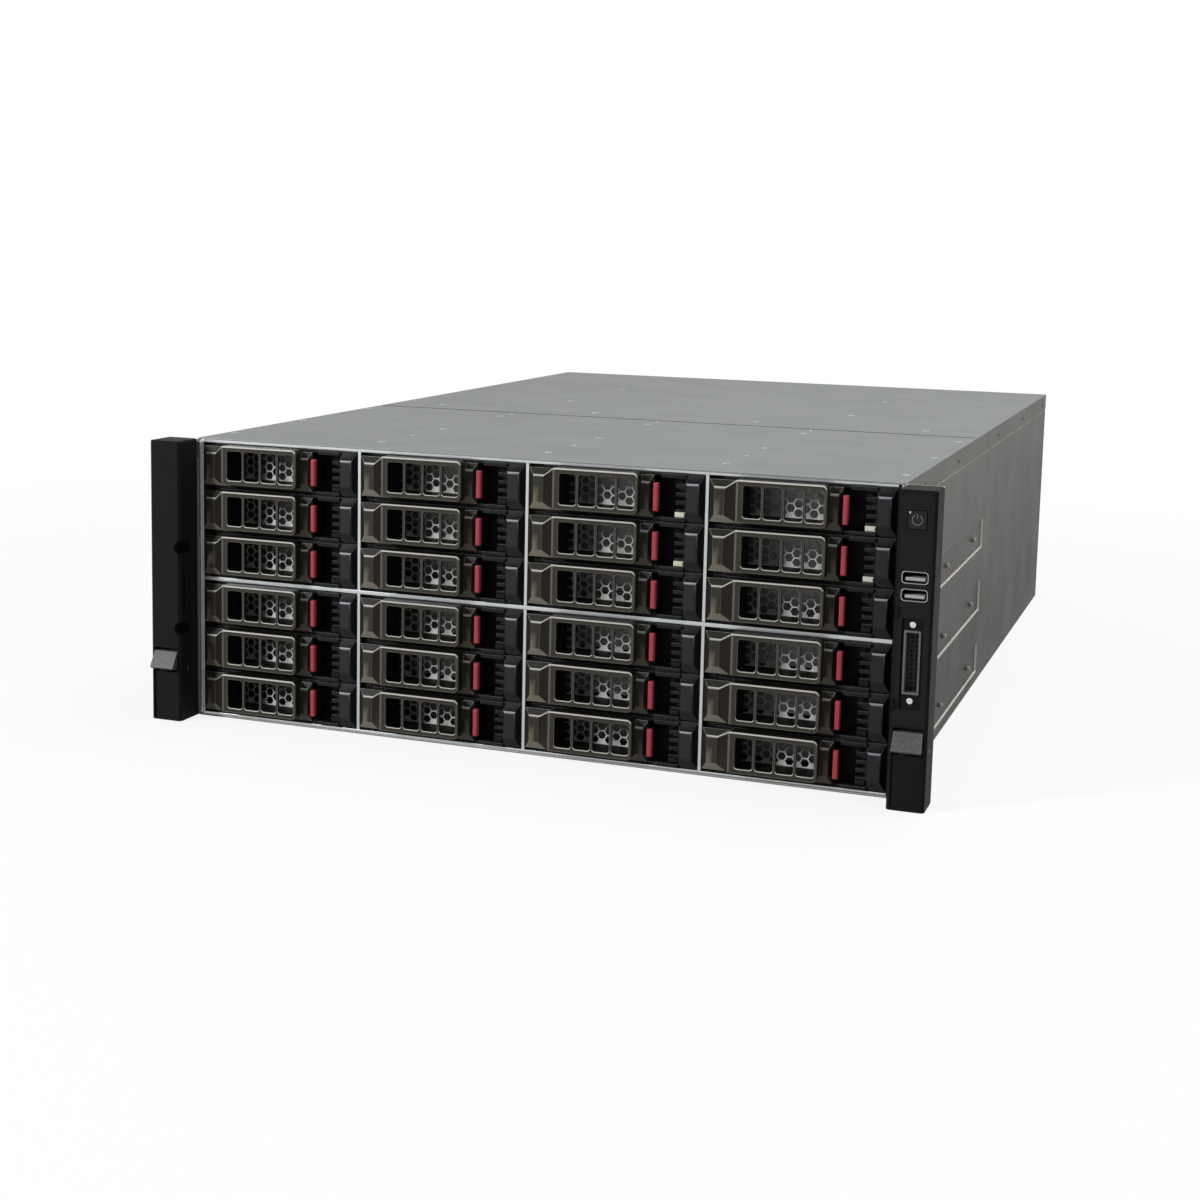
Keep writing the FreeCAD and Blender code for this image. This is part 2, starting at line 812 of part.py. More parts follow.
def make_backplane():
    """Circuit board across the cage's back with air windows, and a connector for each bay."""
    board = Piece("backplane_board")
    span = (dim.cage_depth, dim.cage_depth + dim.backplane_sheet)
    board.pad("y", span, rectangle((-bay_half, bay_half), (cage_foot, cage_head)))
    plug_y = (dim.carrier_length + dim.plug_gap, dim.cage_depth)
    windows = []
    connectors = []
    for column in range(1, COLUMNS + 1):
        for row in range(1, ROWS + 1):
            left = column_left(column)
            foot = row_foot(row)
            windows.append(rectangle((left + dim.air_left, left + dim.air_right),
                                     (foot + dim.air_foot, foot + dim.air_head)))
            plug_x = (left + dim.plug_left, left + dim.plug_left + dim.plug_width)
            plug_z = (foot + dim.plug_foot, foot + dim.plug_foot + dim.plug_height)
            connectors.append(block(f"connector_{column}_{row}", plug_x, plug_y, plug_z))
    board.pocket("y", span, *windows)
    sub_part("backplane", board.body, *connectors)


# The drive carrier, in its own frame: x from its left edge, z from its foot, y from the bay's front plane
carrier_hinge = (dim.hinge_across, -dim.hinge_front)
lever_back = -dim.lever_back
grip_x = (dim.grip_left, dim.grip_right)
grip_z = (dim.grip_foot, dim.grip_head)
tab_z = (dim.lever_face_foot, dim.lever_face_head)
base_z = (dim.lever_foot, dim.lever_head)
pocket_x = (dim.thumb_pocket_left, dim.thumb_pocket_right)


def make_carrier_frame(working):
    """Bezel and two side rails in one moulding; a working one has lugs with a hinge pin."""
    kind = "working" if working else "plain"
    frame = Piece(f"carrier_frame_{kind}")
    front = (0, dim.bezel_depth)
    frame.pad("y", front, rectangle((0, carrier_width), (0, dim.carrier_height)))
    rails = [rectangle(span, (dim.rail_foot, dim.carrier_height - dim.rail_drop))
             for span in ((0, rail_width), (carrier_width - rail_width, carrier_width))]
    frame.pad("y", (dim.bezel_depth, dim.carrier_length), *rails)
    duct = rectangle((dim.duct_left, dim.duct_right), (dim.duct_foot, dim.duct_head))
    frame.pocket("y", front, duct)
    frame.pocket("y", (0, dim.thumb_pocket_depth), rectangle(pocket_x, base_z))
    hinge_recess = rectangle((0, dim.hinge_recess_width), (0, dim.carrier_height))
    frame.pocket("y", (0, dim.hinge_recess_depth), hinge_recess)
    block_x = (pocket_x[1], carrier_width - dim.block_gap)
    block_z = (dim.block_border, dim.carrier_height - dim.block_border)
    face_x = (pocket_x[1] + dim.block_left_slope, carrier_width - dim.block_right_slope)
    label = frustum(f"carrier_block_{kind}", (-dim.tab_reach, 0), (face_x, tab_z), (block_x, block_z))
    if not working:
        return fuse("carrier_frame", frame.body, label)
    across, back = carrier_hinge
    lugs = []
    lug_x = low_high(across, dim.hinge_lug_radius * 2)
    for place, span in (("foot", (0, dim.hinge_lug_sheet)),
                        ("head", (dim.carrier_height - dim.hinge_lug_sheet, dim.carrier_height))):
        lugs.append(rod(f"hinge_lug_{place}", dim.hinge_lug_radius, across, back, span, "z"))
        lugs.append(block(f"hinge_arm_{place}", lug_x, (back, dim.hinge_arm_back), span))
    pin = rod("hinge_pin", dim.hinge_radius, across, back, (0, dim.carrier_height), "z")
    return fuse("carrier_frame_hinged", frame.body, label, pin, *lugs)


def make_lever(working):
    """Pull lever: a low tab at each end, a ramp, and a raised hollow grip with four windows."""
    kind = "working" if working else "plain"
    low = (dim.lever_left, dim.lever_right)
    face = (dim.lever_face_left, dim.lever_face_right)
    reach = dim.tab_reach
    plate = frustum(f"lever_plate_{kind}", (-reach, lever_back), (face, tab_z), (low, base_z))
    ramp = frustum(f"lever_ramp_{kind}", (dim.lever_ramp_left, grip_x[0]), ((-lever_back, reach), tab_z),
                   ((-lever_back, dim.lever_reach), grip_z))
    ramp.Placement = Placement(Vector(), Rotation(Vector(0, 0, 1), -90))
    grip = block(f"lever_grip_{kind}", grip_x, (-dim.lever_reach, lever_back), grip_z)
    solid = fuse(f"lever_solid_{kind}", plate, ramp, grip)
    hollow_x = (grip_x[0] + dim.grip_left_wall, grip_x[1] - dim.grip_front_wall)
    hollow_z = (grip_z[0] + dim.grip_side_wall, grip_z[1] - dim.grip_side_wall)
    inner = -dim.lever_reach + dim.grip_front_wall
    hollow = block(f"lever_hollow_{kind}", hollow_x, (inner, 0), hollow_z)
    window_z = low_high((grip_z[0] + grip_z[1]) / 2, dim.window_height)
    windows = []
    for index in range(WINDOWS):
        left = dim.window_first + dim.window_pitch * index
        windows.append(block(f"lever_window_{kind}_{index}", (left, left + dim.window_width),
                             (-dim.lever_reach, inner + dim.grip_front_wall), window_z))
    if not working:
        return cut("lever", solid, hollow, *windows)
    across, back = carrier_hinge
    bore = rod("lever_bore", dim.hinge_radius + dim.running_gap, across, back, (0, dim.carrier_height), "z")
    return cut("lever_hinged", solid, hollow, bore, *windows)


def make_release_tab():
    """Red release blade beside the lever's free end, tapered to the front."""
    root_x = (dim.release_left, dim.release_right)
    root_z = (dim.release_foot, dim.release_head)
    tip_x = (root_x[0] + dim.release_side_taper, root_x[1] - dim.release_side_taper)
    tip_z = (root_z[0] + dim.release_end_taper, root_z[1] - dim.release_end_taper)
    return frustum("release_tab", (-dim.release_front, dim.release_back), (tip_x, tip_z), (root_x, root_z))


def make_carriers():
    """24 carriers from the same pieces; the working ones give up lever and tab to nodes of their own."""
    plate = block("carrier_grille", (dim.grille_left, dim.grille_right),
                  (dim.bezel_depth, dim.bezel_depth + dim.grille_sheet), (dim.grille_foot, dim.grille_head))
    drive_back = dim.carrier_length - dim.drive_back_gap
    drive_y = (drive_back - dim.drive_length, drive_back)
    drive_z = (dim.drive_foot, dim.drive_foot + dim.drive_height)
    drive = block("drive", (rail_width, rail_width + dim.drive_width), drive_y, drive_z)
    frames = {working: make_carrier_frame(working) for working in (True, False)}
    levers = {working: make_lever(working) for working in (True, False)}
    release = make_release_tab()
    for column in range(1, COLUMNS + 1):
        for row in range(1, ROWS + 1):
            place = f"c{column}r{row}"
            corner = {"x": column_left(column) + dim.carrier_gap, "z": row_foot(row) + dim.carrier_lift}
            working = (column, row) in WORKING_CARRIERS
            pieces = [frames[working], plate, drive]
            if working:
                put(sub_part(f"lever_{place}", levers[True]), **corner)
                put(sub_part(f"release_tab_{place}", release), **corner)
            else:
                pieces += [levers[False], release]
            put(sub_part(f"carrier_{place}", *pieces), **corner)


def make_ear(hand, side):
    """Moulded ear, hollow from behind, with two hook notches, a slot and the latch opening."""
    ear = Piece(f"{hand}_ear_block")
    across = (half_body, half_rack)
    back = -dim.flange_sheet
    corner = dim.ear_chamfer
    outline = [(half_body, back), (half_body, ear_front + corner), (half_body + corner, ear_front),
               (half_rack - corner, ear_front), (half_rack, ear_front + corner), (half_rack, back)]
    ear.pad("z", (dim.ear_foot, ear_top), [(side * x, y) for x, y in outline])
    inside = flip((across[0] + dim.ear_wall, across[1] - dim.ear_wall), side)
    ear.pocket("y", (ear_wall_back, back), rectangle(inside, (dim.ear_cavity_foot, ear_top - dim.ear_roof)))
    latch = flip(low_high(ear_middle, dim.latch_width), side)
    lower = flip((across[0] + dim.panel_inset, across[1] - dim.panel_inset), side)
    plate = ear_front + dim.lower_plate_inset
    sill_back = plate + dim.latch_sill_sheet
    ear.pocket("y", (ear_front, plate), rectangle(lower, (dim.lower_plate_foot, dim.latch_sill)))
    ear.pocket("y", (ear_front, sill_back), rectangle(latch, (dim.latch_sill, dim.latch_lintel)))
    ear.pocket("y", (sill_back, back), rectangle(latch, (dim.latch_floor, dim.latch_lintel)))
    notches = [(side * half_body, up, dim.notch_radius) for up in (dim.notch_lower, dim.notch_upper)]
    ear.pocket("y", (ear_front, ear_front + dim.notch_reach), circles=notches)
    slot_front = ear_front + dim.grip_slot_inset
    slot = rectangle((slot_front, slot_front + dim.grip_slot_width), (dim.grip_slot_foot, dim.grip_slot_head))
    ear.pocket("x", flip((across[0], across[0] + dim.ear_wall), side), slot)
    pivot = (-dim.latch_pivot_back, dim.latch_pivot_up, dim.latch_pin_radius)
    ear.pocket("x", flip(across, side), circles=[pivot])
    if hand == "right":
        cut_for_controls(ear)
    sub_part(f"{hand}_ear", ear.body)


def cut_for_controls(ear):
    """Seat for the fascia, and openings for button, sockets and header."""
    seat = (half_body + dim.panel_inset, half_rack - dim.panel_inset)
    ear.pocket("y", (ear_front, panel_face), rectangle(seat, (dim.panel_foot, dim.panel_head)))
    ear.pocket("y", (panel_face, ear_wall_back), *control_openings(dim.fit_gap))


def control_openings(gap):
    """Outlines of button, sockets and header, with a gap all round."""
    button = dim.button_side + gap * 2
    openings = [rectangle(low_high(ear_middle, button), low_high(dim.button_up, button))]
    for up in (dim.usb_upper, dim.usb_lower):
        openings.append(rectangle(low_high(ear_middle, dim.usb_width + gap),
                                  low_high(up, dim.usb_height + gap)))
    openings.append(rectangle(low_high(ear_middle, dim.header_width + gap),
                              low_high(dim.header_up, dim.header_length + gap)))
    return openings


def make_controls():
    """Fascia, control board, power button, sockets and shrouded header of the right ear."""
    fascia = Piece("fascia")
    seat = (half_body + dim.panel_inset, half_rack - dim.panel_inset)
    sheet = (ear_front, panel_face)
    fascia.pad("y", sheet, rectangle(seat, (dim.panel_foot, dim.panel_head)))
    openings = control_openings(dim.fit_gap)
    openings[-1] = rectangle(low_high(ear_middle, dim.header_window_width),
                             (dim.header_window_foot, dim.header_window_head))
    fascia.pocket("y", sheet, *openings)
    fascia.pocket("y", sheet, circles=[(half_body, dim.notch_lower, dim.notch_radius),
                                       (half_body, dim.notch_upper, dim.notch_radius)])
    sub_part("control_panel", fascia.body)

    border = dim.ear_wall + dim.control_board_gap
    board = block("control_circuit", (half_body + border, half_rack - border),
                  (board_face, board_face + dim.board_sheet), (dim.control_board_foot, dim.control_board_head))
    switch_face = board_face - dim.switch_height
    switch = block("button_switch", low_high(ear_middle, dim.switch_side), (switch_face, board_face),
                   low_high(dim.button_up, dim.switch_side))
    sub_part("control_board", board, switch)

    button = Piece("button")
    span = (ear_front - dim.button_proud, switch_face - dim.button_travel)
    button.pad("y", span, rectangle(low_high(ear_middle, dim.button_side),
                                    low_high(dim.button_up, dim.button_side)))
    rim = (ear_wall_back + dim.fit_gap, ear_wall_back + dim.fit_gap + dim.button_rim_sheet)
    button.pad("y", rim, rectangle(low_high(ear_middle, dim.button_rim),
                                   low_high(dim.button_up, dim.button_rim)))
    sub_part("power_button", button.body)

    sub_part("usb_ports", *[make_usb(name, up) for name, up in
                            (("usb_top", dim.usb_upper), ("usb_bottom", dim.usb_lower))])

    shroud = Piece("header_shroud")
    outer = rectangle(low_high(ear_middle, dim.header_width), low_high(dim.header_up, dim.header_length))
    cavity = rectangle(low_high(ear_middle, dim.header_width - dim.header_wall * 2),
                       low_high(dim.header_up, dim.header_length - dim.header_wall * 2))
    mouth = panel_face - dim.header_proud
    shroud.pad("y", (mouth, board_face), outer)
    shroud.pocket("y", (mouth, board_face - dim.header_floor), cavity)
    screw_y = (panel_face - dim.header_screw_rise, panel_face)
    screws = [rod(f"header_screw_{place}", dim.header_screw_radius, ear_middle, screw_y, up, "y")
              for place, up in (("head", dim.header_screw_upper), ("foot", dim.header_screw_lower))]
    sub_part("panel_connector", shroud.body, *screws)


def make_usb(name, up):
    """A socket shell with its contact tongue in the lower half."""
    front = ear_front + dim.usb_sink
    inner_back = board_face - dim.usb_back
    shell = block(f"{name}_shell", low_high(ear_middle, dim.usb_width), (front, board_face),
                  low_high(up, dim.usb_height))
    inner_x = low_high(ear_middle, dim.usb_width - dim.usb_wall * 2)
    hollow = block(f"{name}_hollow", inner_x, (front, inner_back),
                   low_high(up, dim.usb_height - dim.usb_wall * 2))
    tongue_foot = up - dim.tongue_drop
    tongue = block(f"{name}_tongue", low_high(ear_middle, dim.tongue_width),
                   (front + dim.tongue_sink, board_face), (tongue_foot, tongue_foot + dim.tongue_height))
    return fuse(name, cut(f"{name}_case", shell, hollow), tongue)


def make_latch(hand, side):
    """Thumb latch: a wedge with a lip in front, a bored hub on the cross pin, and a claw behind."""
    latch = Piece(f"{hand}_latch")
    pivot_y = -dim.latch_pivot_back
    pivot_z = dim.latch_pivot_up
    lip_front = ear_front - dim.thumb_reach
    hub_foot = pivot_z - dim.hub_drop
    hub_front = pivot_y - dim.hub_reach
    hub_back = pivot_y + dim.hub_reach
    thumb = [(ear_front, pivot_z + dim.thumb_rise), (lip_front, pivot_z + dim.thumb_lip_head),
             (lip_front + dim.thumb_lip_round, pivot_z + dim.thumb_lip_foot),
             (ear_front + dim.thumb_root, pivot_z + dim.thumb_lip_round), (hub_front, hub_foot),
             (hub_back, hub_foot), (hub_back, pivot_z + dim.hub_rise),
             (pivot_y + dim.claw_lead, pivot_z + dim.thumb_rise)]
    width = dim.latch_width - dim.fit_gap * 2
    latch.pad("x", flip(low_high(ear_middle, width), side), thumb)
    claw_root = hub_back - dim.claw_lead
    claw_foot = pivot_z + dim.claw_foot
    claw_head = pivot_z + dim.claw_head
    hook_foot = pivot_z - dim.claw_drop
    claw = [(claw_root, claw_foot), (dim.claw_hook, claw_foot), (dim.claw_hook, hook_foot),
            (dim.claw_tip, hook_foot + dim.claw_lead), (dim.claw_tip, claw_head), (claw_root, claw_head)]
    latch.pad("x", flip(low_high(ear_middle, dim.claw_width), side), claw)
    bore = (pivot_y, pivot_z, dim.latch_pin_radius + dim.running_gap)
    latch.pocket("x", flip(low_high(ear_middle, width), side), circles=[bore])
    sub_part(f"{hand}_ear_latch", latch.body)


def make_latch_pins():
    """Cross pins of the two ear latches."""
    span = (half_body + dim.fit_gap, half_rack)
    pins = [rod(f"{hand}_latch_pin", dim.latch_pin_radius, flip(span, side), -dim.latch_pivot_back,
                dim.latch_pivot_up, "x")
            for hand, side in (("right", 1), ("left", -1))]
    sub_part("latch_pins", *pins)


def make_fans():
    """Fan wall, three square fan frames with spokes and shaft, and three bladed rotors."""
    middle = dim.body_height / 2
    plate = (dim.fan_plane, dim.fan_plane + dim.sheet)
    centres = [dim.fan_pitch * (index - 1) for index in range(len(FANS))]
    wall = Piece("fan_plate")
    wall_half = cage_half - dim.fan_wall_gap
    wall.pad("y", plate, rectangle((-wall_half, wall_half), (dim.sheet, cover_under - dim.fan_wall_drop)))
    wall.pocket("y", plate, circles=[(x, middle, dim.fan_bore) for x in centres])
    sub_part("fan_wall", wall.body)

    front = plate[1]
    back = front + dim.fan_depth
    half = dim.fan_side / 2
    frame = Piece("fan_frame")
    frame.pad("y", (front, back), rectangle((-half, half), (-half, half)))
    frame.pocket("y", (front, back), circles=[(0, 0, dim.fan_bore)])
    spoke_front = back - dim.spoke_sheet
    spoke = (spoke_front, back)
    reach = low_high(Size.of(0), dim.fan_side - dim.spoke_inset * 2)
    bar = low_high(Size.of(0), dim.spoke_width)
    frame.pad("y", spoke, rectangle(reach, bar))
    frame.pad("y", spoke, rectangle(bar, reach))
    frame.pad("y", spoke, circles=[(0, 0, dim.fan_hub)])
    frame.pad("y", (front + dim.shaft_front_gap, spoke_front), circles=[(0, 0, dim.fan_shaft)])
    frames = [put(gather(f"fan_frame_{name}", [frame.body]), x=x, z=middle) for name, x in zip(FANS, centres)]
    sub_part("fan_frames", *frames)

    rotor = Piece("fan_rotor")
    hub = (front + dim.rotor_front_gap, spoke_front - dim.rotor_back_gap)
    rotor.pad("y", hub, circles=[(0, 0, dim.fan_hub)])
    lead = front + dim.blade_front_gap
    trail = back - dim.blade_back_gap
    blade = [(lead, -dim.blade_lead), (lead + dim.blade_sheet, -dim.blade_lead), (trail, dim.blade_trail),
             (trail - dim.blade_sheet, dim.blade_trail)]
    vane = rotor.pad("x", (dim.fan_hub * dim.blade_root, dim.fan_bore - dim.blade_gap), blade)
    rotor.ring(vane, "Y_Axis", FAN_BLADES)
    rotor.pocket("y", hub, circles=[(0, 0, dim.fan_shaft + dim.running_gap)])
    for name, x in zip(FANS, centres):
        put(sub_part(f"fan_rotor_{name}", rotor.body), x=x, z=middle)


def make_motherboard():
    """Main board on standoffs, finned heatsink, and memory modules in their sockets."""
    top = dim.board_up + dim.board_sheet
    left = dim.board_left
    front = rear_face - dim.board_gap - dim.board_depth
    board = block("main_circuit", (left, left + dim.board_width), (front, front + dim.board_depth),
                  (dim.board_up, top))
    standoffs = []
    for column in range(STANDOFFS):
        for row in range(STANDOFFS):
            post = doc.addObject("Part::Prism", f"standoff_{column}_{row}")
            post.Polygon = 6
            bind(post, Circumradius=dim.standoff_radius, Height=dim.board_up - dim.sheet)
            across = left + dim.standoff_margin + dim.standoff_across * column
            along = front + dim.standoff_margin + dim.standoff_along * row
            standoffs.append(put(post, across, along, dim.sheet))
    sub_part("motherboard", board, *standoffs)

    sink = Piece("heatsink")
    base_x = (dim.sink_left, dim.sink_left + dim.sink_width)
    base_y = (front + dim.sink_front, front + dim.sink_front + dim.sink_depth)
    sink.pad("z", (top, top + dim.sink_base), rectangle(base_x, base_y))
    fin_z = (top + dim.sink_base, top + dim.sink_height)
    fin = sink.pad("z", fin_z, rectangle((base_x[0], base_x[0] + dim.fin_sheet), base_y))
    sink.row(fin, "X_Axis", dim.sink_width - dim.fin_sheet, FINS)
    sub_part("cpu_heatsink", sink.body)

    modules = []
    socket_y = (front + dim.memory_front, front + dim.memory_front + dim.memory_length)
    module_y = (socket_y[0] + dim.memory_end, socket_y[1] - dim.memory_end)
    socket_top = top + dim.memory_socket_height
    for index in range(MEMORY_SLOTS):
        across = dim.memory_first + dim.memory_pitch * index
        modules.append(block(f"memory_socket_{index}", low_high(across, dim.memory_socket_width), socket_y,
                             (top, socket_top)))
        modules.append(block(f"memory_module_{index}", low_high(across, dim.memory_sheet), module_y,
                             (socket_top, top + dim.memory_height)))
    sub_part("memory_modules", *modules)


def make_power_supplies():
    """Cage with a shelf, and two pull-out supplies, each with inlet, handle and side latch."""
    right = dim.psu_left + dim.psu_width + dim.psu_side_gap
    shelf = dim.psu_floor + dim.psu_height + dim.psu_head_gap
    roof = shelf + dim.psu_pitch
    left = dim.psu_left - dim.psu_side_gap
    wall = right + dim.sheet
    roof_top = roof + dim.sheet
    shelf_top = shelf + dim.sheet
    section = [(right, dim.sheet), (wall, dim.sheet), (wall, roof_top), (left, roof_top), (left, roof),
               (right, roof), (right, shelf_top), (left, shelf_top), (left, shelf), (right, shelf)]
    cage = Piece("supply_cage")
    cage.pad("y", (rear_face - dim.psu_length - dim.psu_cage_margin, rear_face - dim.sheet), section)
    sub_part("psu_cage", cage.body)

    case = Piece("supply")
    face = rear_face + dim.psu_proud
    case.pad("y", (rear_face - dim.psu_length, face), rectangle((0, dim.psu_width), (0, dim.psu_height)))
    inlet = rectangle((dim.inlet_left, dim.inlet_right), (dim.inlet_foot, dim.inlet_head))
    case.pocket("y", (rear_face - dim.inlet_depth, face), inlet)
    case.pocket("y", (rear_face, face), circles=[(dim.exhaust_across, dim.exhaust_up, dim.exhaust_radius)])
    case.pad("z", (dim.handle_foot, dim.handle_head), handle_outline())
    pivot = (dim.catch_across, rear_face + dim.catch_back)
    lug = rectangle(low_high(dim.catch_across, dim.catch_width), (face, rear_face + dim.lug_reach))
    lug_head = dim.catch_foot - dim.fit_gap
    lug_foot = dim.catch_head + dim.fit_gap
    case.pad("z", (lug_head - dim.lug_sheet, lug_head), lug)
    case.pad("z", (lug_foot, lug_foot + dim.lug_sheet), lug)
    case.pad("z", (lug_head, lug_foot), circles=[(*pivot, dim.hinge_radius)])
    catch = Piece("supply_latch")
    catch_z = (dim.catch_foot, dim.catch_head)
    catch.pad("z", catch_z, catch_outline())
    catch.pocket("z", catch_z, circles=[(*pivot, dim.hinge_radius + dim.running_gap)])
    for index, name in enumerate(("lower", "upper")):
        corner = {"x": dim.psu_left, "z": dim.psu_floor + dim.psu_pitch * index}
        put(sub_part(f"psu_{name}", case.body), **corner)
        put(sub_part(f"psu_latch_{name}", catch.body), **corner)


def handle_outline():
    """Plan of a supply's pull handle: a bar on two legs, with its outer corners cut."""
    left = dim.handle_left
    right = dim.handle_right
    bar = dim.handle_bar
    back = rear_face + dim.handle_reach
    corner = dim.handle_corner
    return [(left, rear_face), (left, back - corner), (left + corner, back), (right - corner, back),
            (right, back - corner), (right, rear_face), (right - bar, rear_face), (right - bar, back - bar),
            (left + bar, back - bar), (left + bar, rear_face)]


def catch_outline():
    """Plan of a supply's latch: a hub round the pivot and a springy blade with a curled tip."""
    left = dim.catch_across - dim.catch_width / 2
    right = dim.catch_across + dim.catch_width / 2
    blade = right - dim.catch_blade
    front = rear_face + dim.psu_proud + dim.catch_gap
    neck = rear_face + dim.catch_neck
    bend = rear_face + dim.catch_bend
    tip = rear_face + dim.catch_reach
    return [(left, front), (right, front), (right, bend), (right - dim.catch_curl, tip),
            (blade - dim.catch_curl, tip), (blade, bend), (blade, neck), (left, neck)]


def check_document():
    """Stop if any object failed, any sub-part is not a valid shape, or any pocket cut nothing."""
    for item in doc.Objects:
        if "Invalid" in item.State or "Error" in item.State:
            raise RuntimeError(f"{item.Label} failed: {item.State}")
        if item.isDerivedFrom("PartDesign::Pocket"):
            if item.Shape.Volume > item.BaseFeature.Shape.Volume - 0.01:
                raise RuntimeError(f"{item.Label} cut nothing")
    for part in sub_parts:
        if part.Shape.isNull() or not part.Shape.isValid() or not part.Shape.Solids:
            raise RuntimeError(f"{part.Label} has no valid solid")


def write_parts():
    os.makedirs("parts", exist_ok=True)
    for part in sub_parts:
        part.Shape.exportStep(f"parts/{part.Label}.step")
    print(f"{len(sub_parts)} sub-parts written")


make_tray()
make_rail_studs()
make_cover("front_cover", (0, dim.cover_seam - dim.fit_gap), lip=False)
make_cover("rear_cover", (dim.cover_seam + dim.fit_gap, dim.body_depth), lip=True)
make_rear_panel()
make_rear_sockets()
make_slot_covers()
make_cage()
make_backplane()
make_carriers()
for hand_name, hand_side in (("right", 1), ("left", -1)):
    make_ear(hand_name, hand_side)
    make_latch(hand_name, hand_side)
make_controls()
make_latch_pins()
make_fans()
make_motherboard()
make_power_supplies()
doc.recompute()
check_document()
write_parts()
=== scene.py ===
"""Looks of a rack video server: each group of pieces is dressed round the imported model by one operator."""

import json
import math

import bmesh
import bpy
from bpy.props import FloatProperty, FloatVectorProperty, PointerProperty
from bpy.types import Operator, Panel, PropertyGroup
from mathutils import Matrix, Vector


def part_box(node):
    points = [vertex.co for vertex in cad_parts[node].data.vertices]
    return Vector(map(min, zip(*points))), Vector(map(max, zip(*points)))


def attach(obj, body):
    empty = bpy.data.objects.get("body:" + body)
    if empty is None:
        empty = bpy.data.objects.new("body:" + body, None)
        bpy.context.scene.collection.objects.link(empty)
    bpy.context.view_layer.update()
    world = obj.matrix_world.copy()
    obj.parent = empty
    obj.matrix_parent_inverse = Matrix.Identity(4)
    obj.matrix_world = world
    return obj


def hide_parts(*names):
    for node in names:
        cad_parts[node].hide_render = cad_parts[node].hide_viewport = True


bl_info = {
    "name": "Rack video server",
    "version": (1, 0, 0),
    "blender": (4, 5, 0),
    "location": "3D View > Sidebar > Server",
    "description": "Dresses the packed model of a rack video server",
    "category": "Object",
}

MM = 0.001
SHARP = math.radians(30)
SMOOTH = math.radians(50)
SMOOTH_HEAD = math.radians(35)
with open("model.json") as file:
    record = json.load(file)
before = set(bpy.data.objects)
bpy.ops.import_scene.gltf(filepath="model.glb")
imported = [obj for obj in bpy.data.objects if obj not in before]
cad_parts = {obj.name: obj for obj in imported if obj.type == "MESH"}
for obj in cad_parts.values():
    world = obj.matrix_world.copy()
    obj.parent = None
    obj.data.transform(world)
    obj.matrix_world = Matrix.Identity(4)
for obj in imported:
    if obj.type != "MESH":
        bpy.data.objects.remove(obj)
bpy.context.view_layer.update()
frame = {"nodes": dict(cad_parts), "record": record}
body_of = {node: body for body, nodes in frame["record"]["behaviour"]["bodies"].items() for node in nodes}


def length_property(name, description, millimetres):
    """A length that the user may change, given in millimetres."""
    return FloatProperty(name=name, description=description, default=millimetres * MM, subtype="DISTANCE",
                         unit="LENGTH")


class ServerSizes(PropertyGroup):
    """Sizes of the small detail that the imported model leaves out."""

    sheet_edge: length_property("Sheet edge", "Rounding of cut and folded sheet metal", 0.25)
    seam_edge: length_property("Seam edge", "Rounding of the covers where they meet", 1.1)
    moulded_edge: length_property("Moulded edge", "Rounding of the moulded ears", 0.9)
    bezel_edge: length_property("Bezel edge", "Rounding of the carrier bezels", 0.35)
    lever_edge: length_property("Lever edge", "Rounding of the carrier levers", 0.45)
    grip_edge: length_property("Grip edge", "Rounding of the rim of a lever's grip and tabs", 0.8)
    sill_edge: length_property("Sill edge", "Rounding of a lever's window rims and ridge", 0.7)
    block_edge: length_property("Block edge", "Rounding of the rim of a carrier's end block", 0.8)
    recess_edge: length_property("Recess edge", "Rounding of the pressed side walls", 0.55)
    panel_rise: length_property("Panel rise", "How far the fascia's head rises over the packed one", 2.8)
    panel_corner: length_property("Panel corner", "Corner radius of the fascia", 1.6)
    ear_corner: length_property("Ear corner", "Corner radius at the ears' upper ends", 2.5)
    window_corner: length_property("Window corner", "Corner radius of a lever's windows", 1.5)
    grip_corner: length_property("Grip corner", "Corner radius at a grip's free end", 3.0)
    cell_side: length_property("Cell side", "Side of one hexagon of the air grille", 3.0)
    cell_strut: length_property("Cell strut", "Metal left between two hexagons", 0.7)
    cover_screw: length_property("Cover screw", "Head radius of the cover screws", 2.5)
    cover_rivet: length_property("Cover rivet", "Head radius of the flush rivets", 1.4)


def colour_property(name, description, value):
    """A linear colour that the user may change."""
    return FloatVectorProperty(name=name, description=description, default=value, size=3,
                               subtype="COLOR", min=0, max=1)


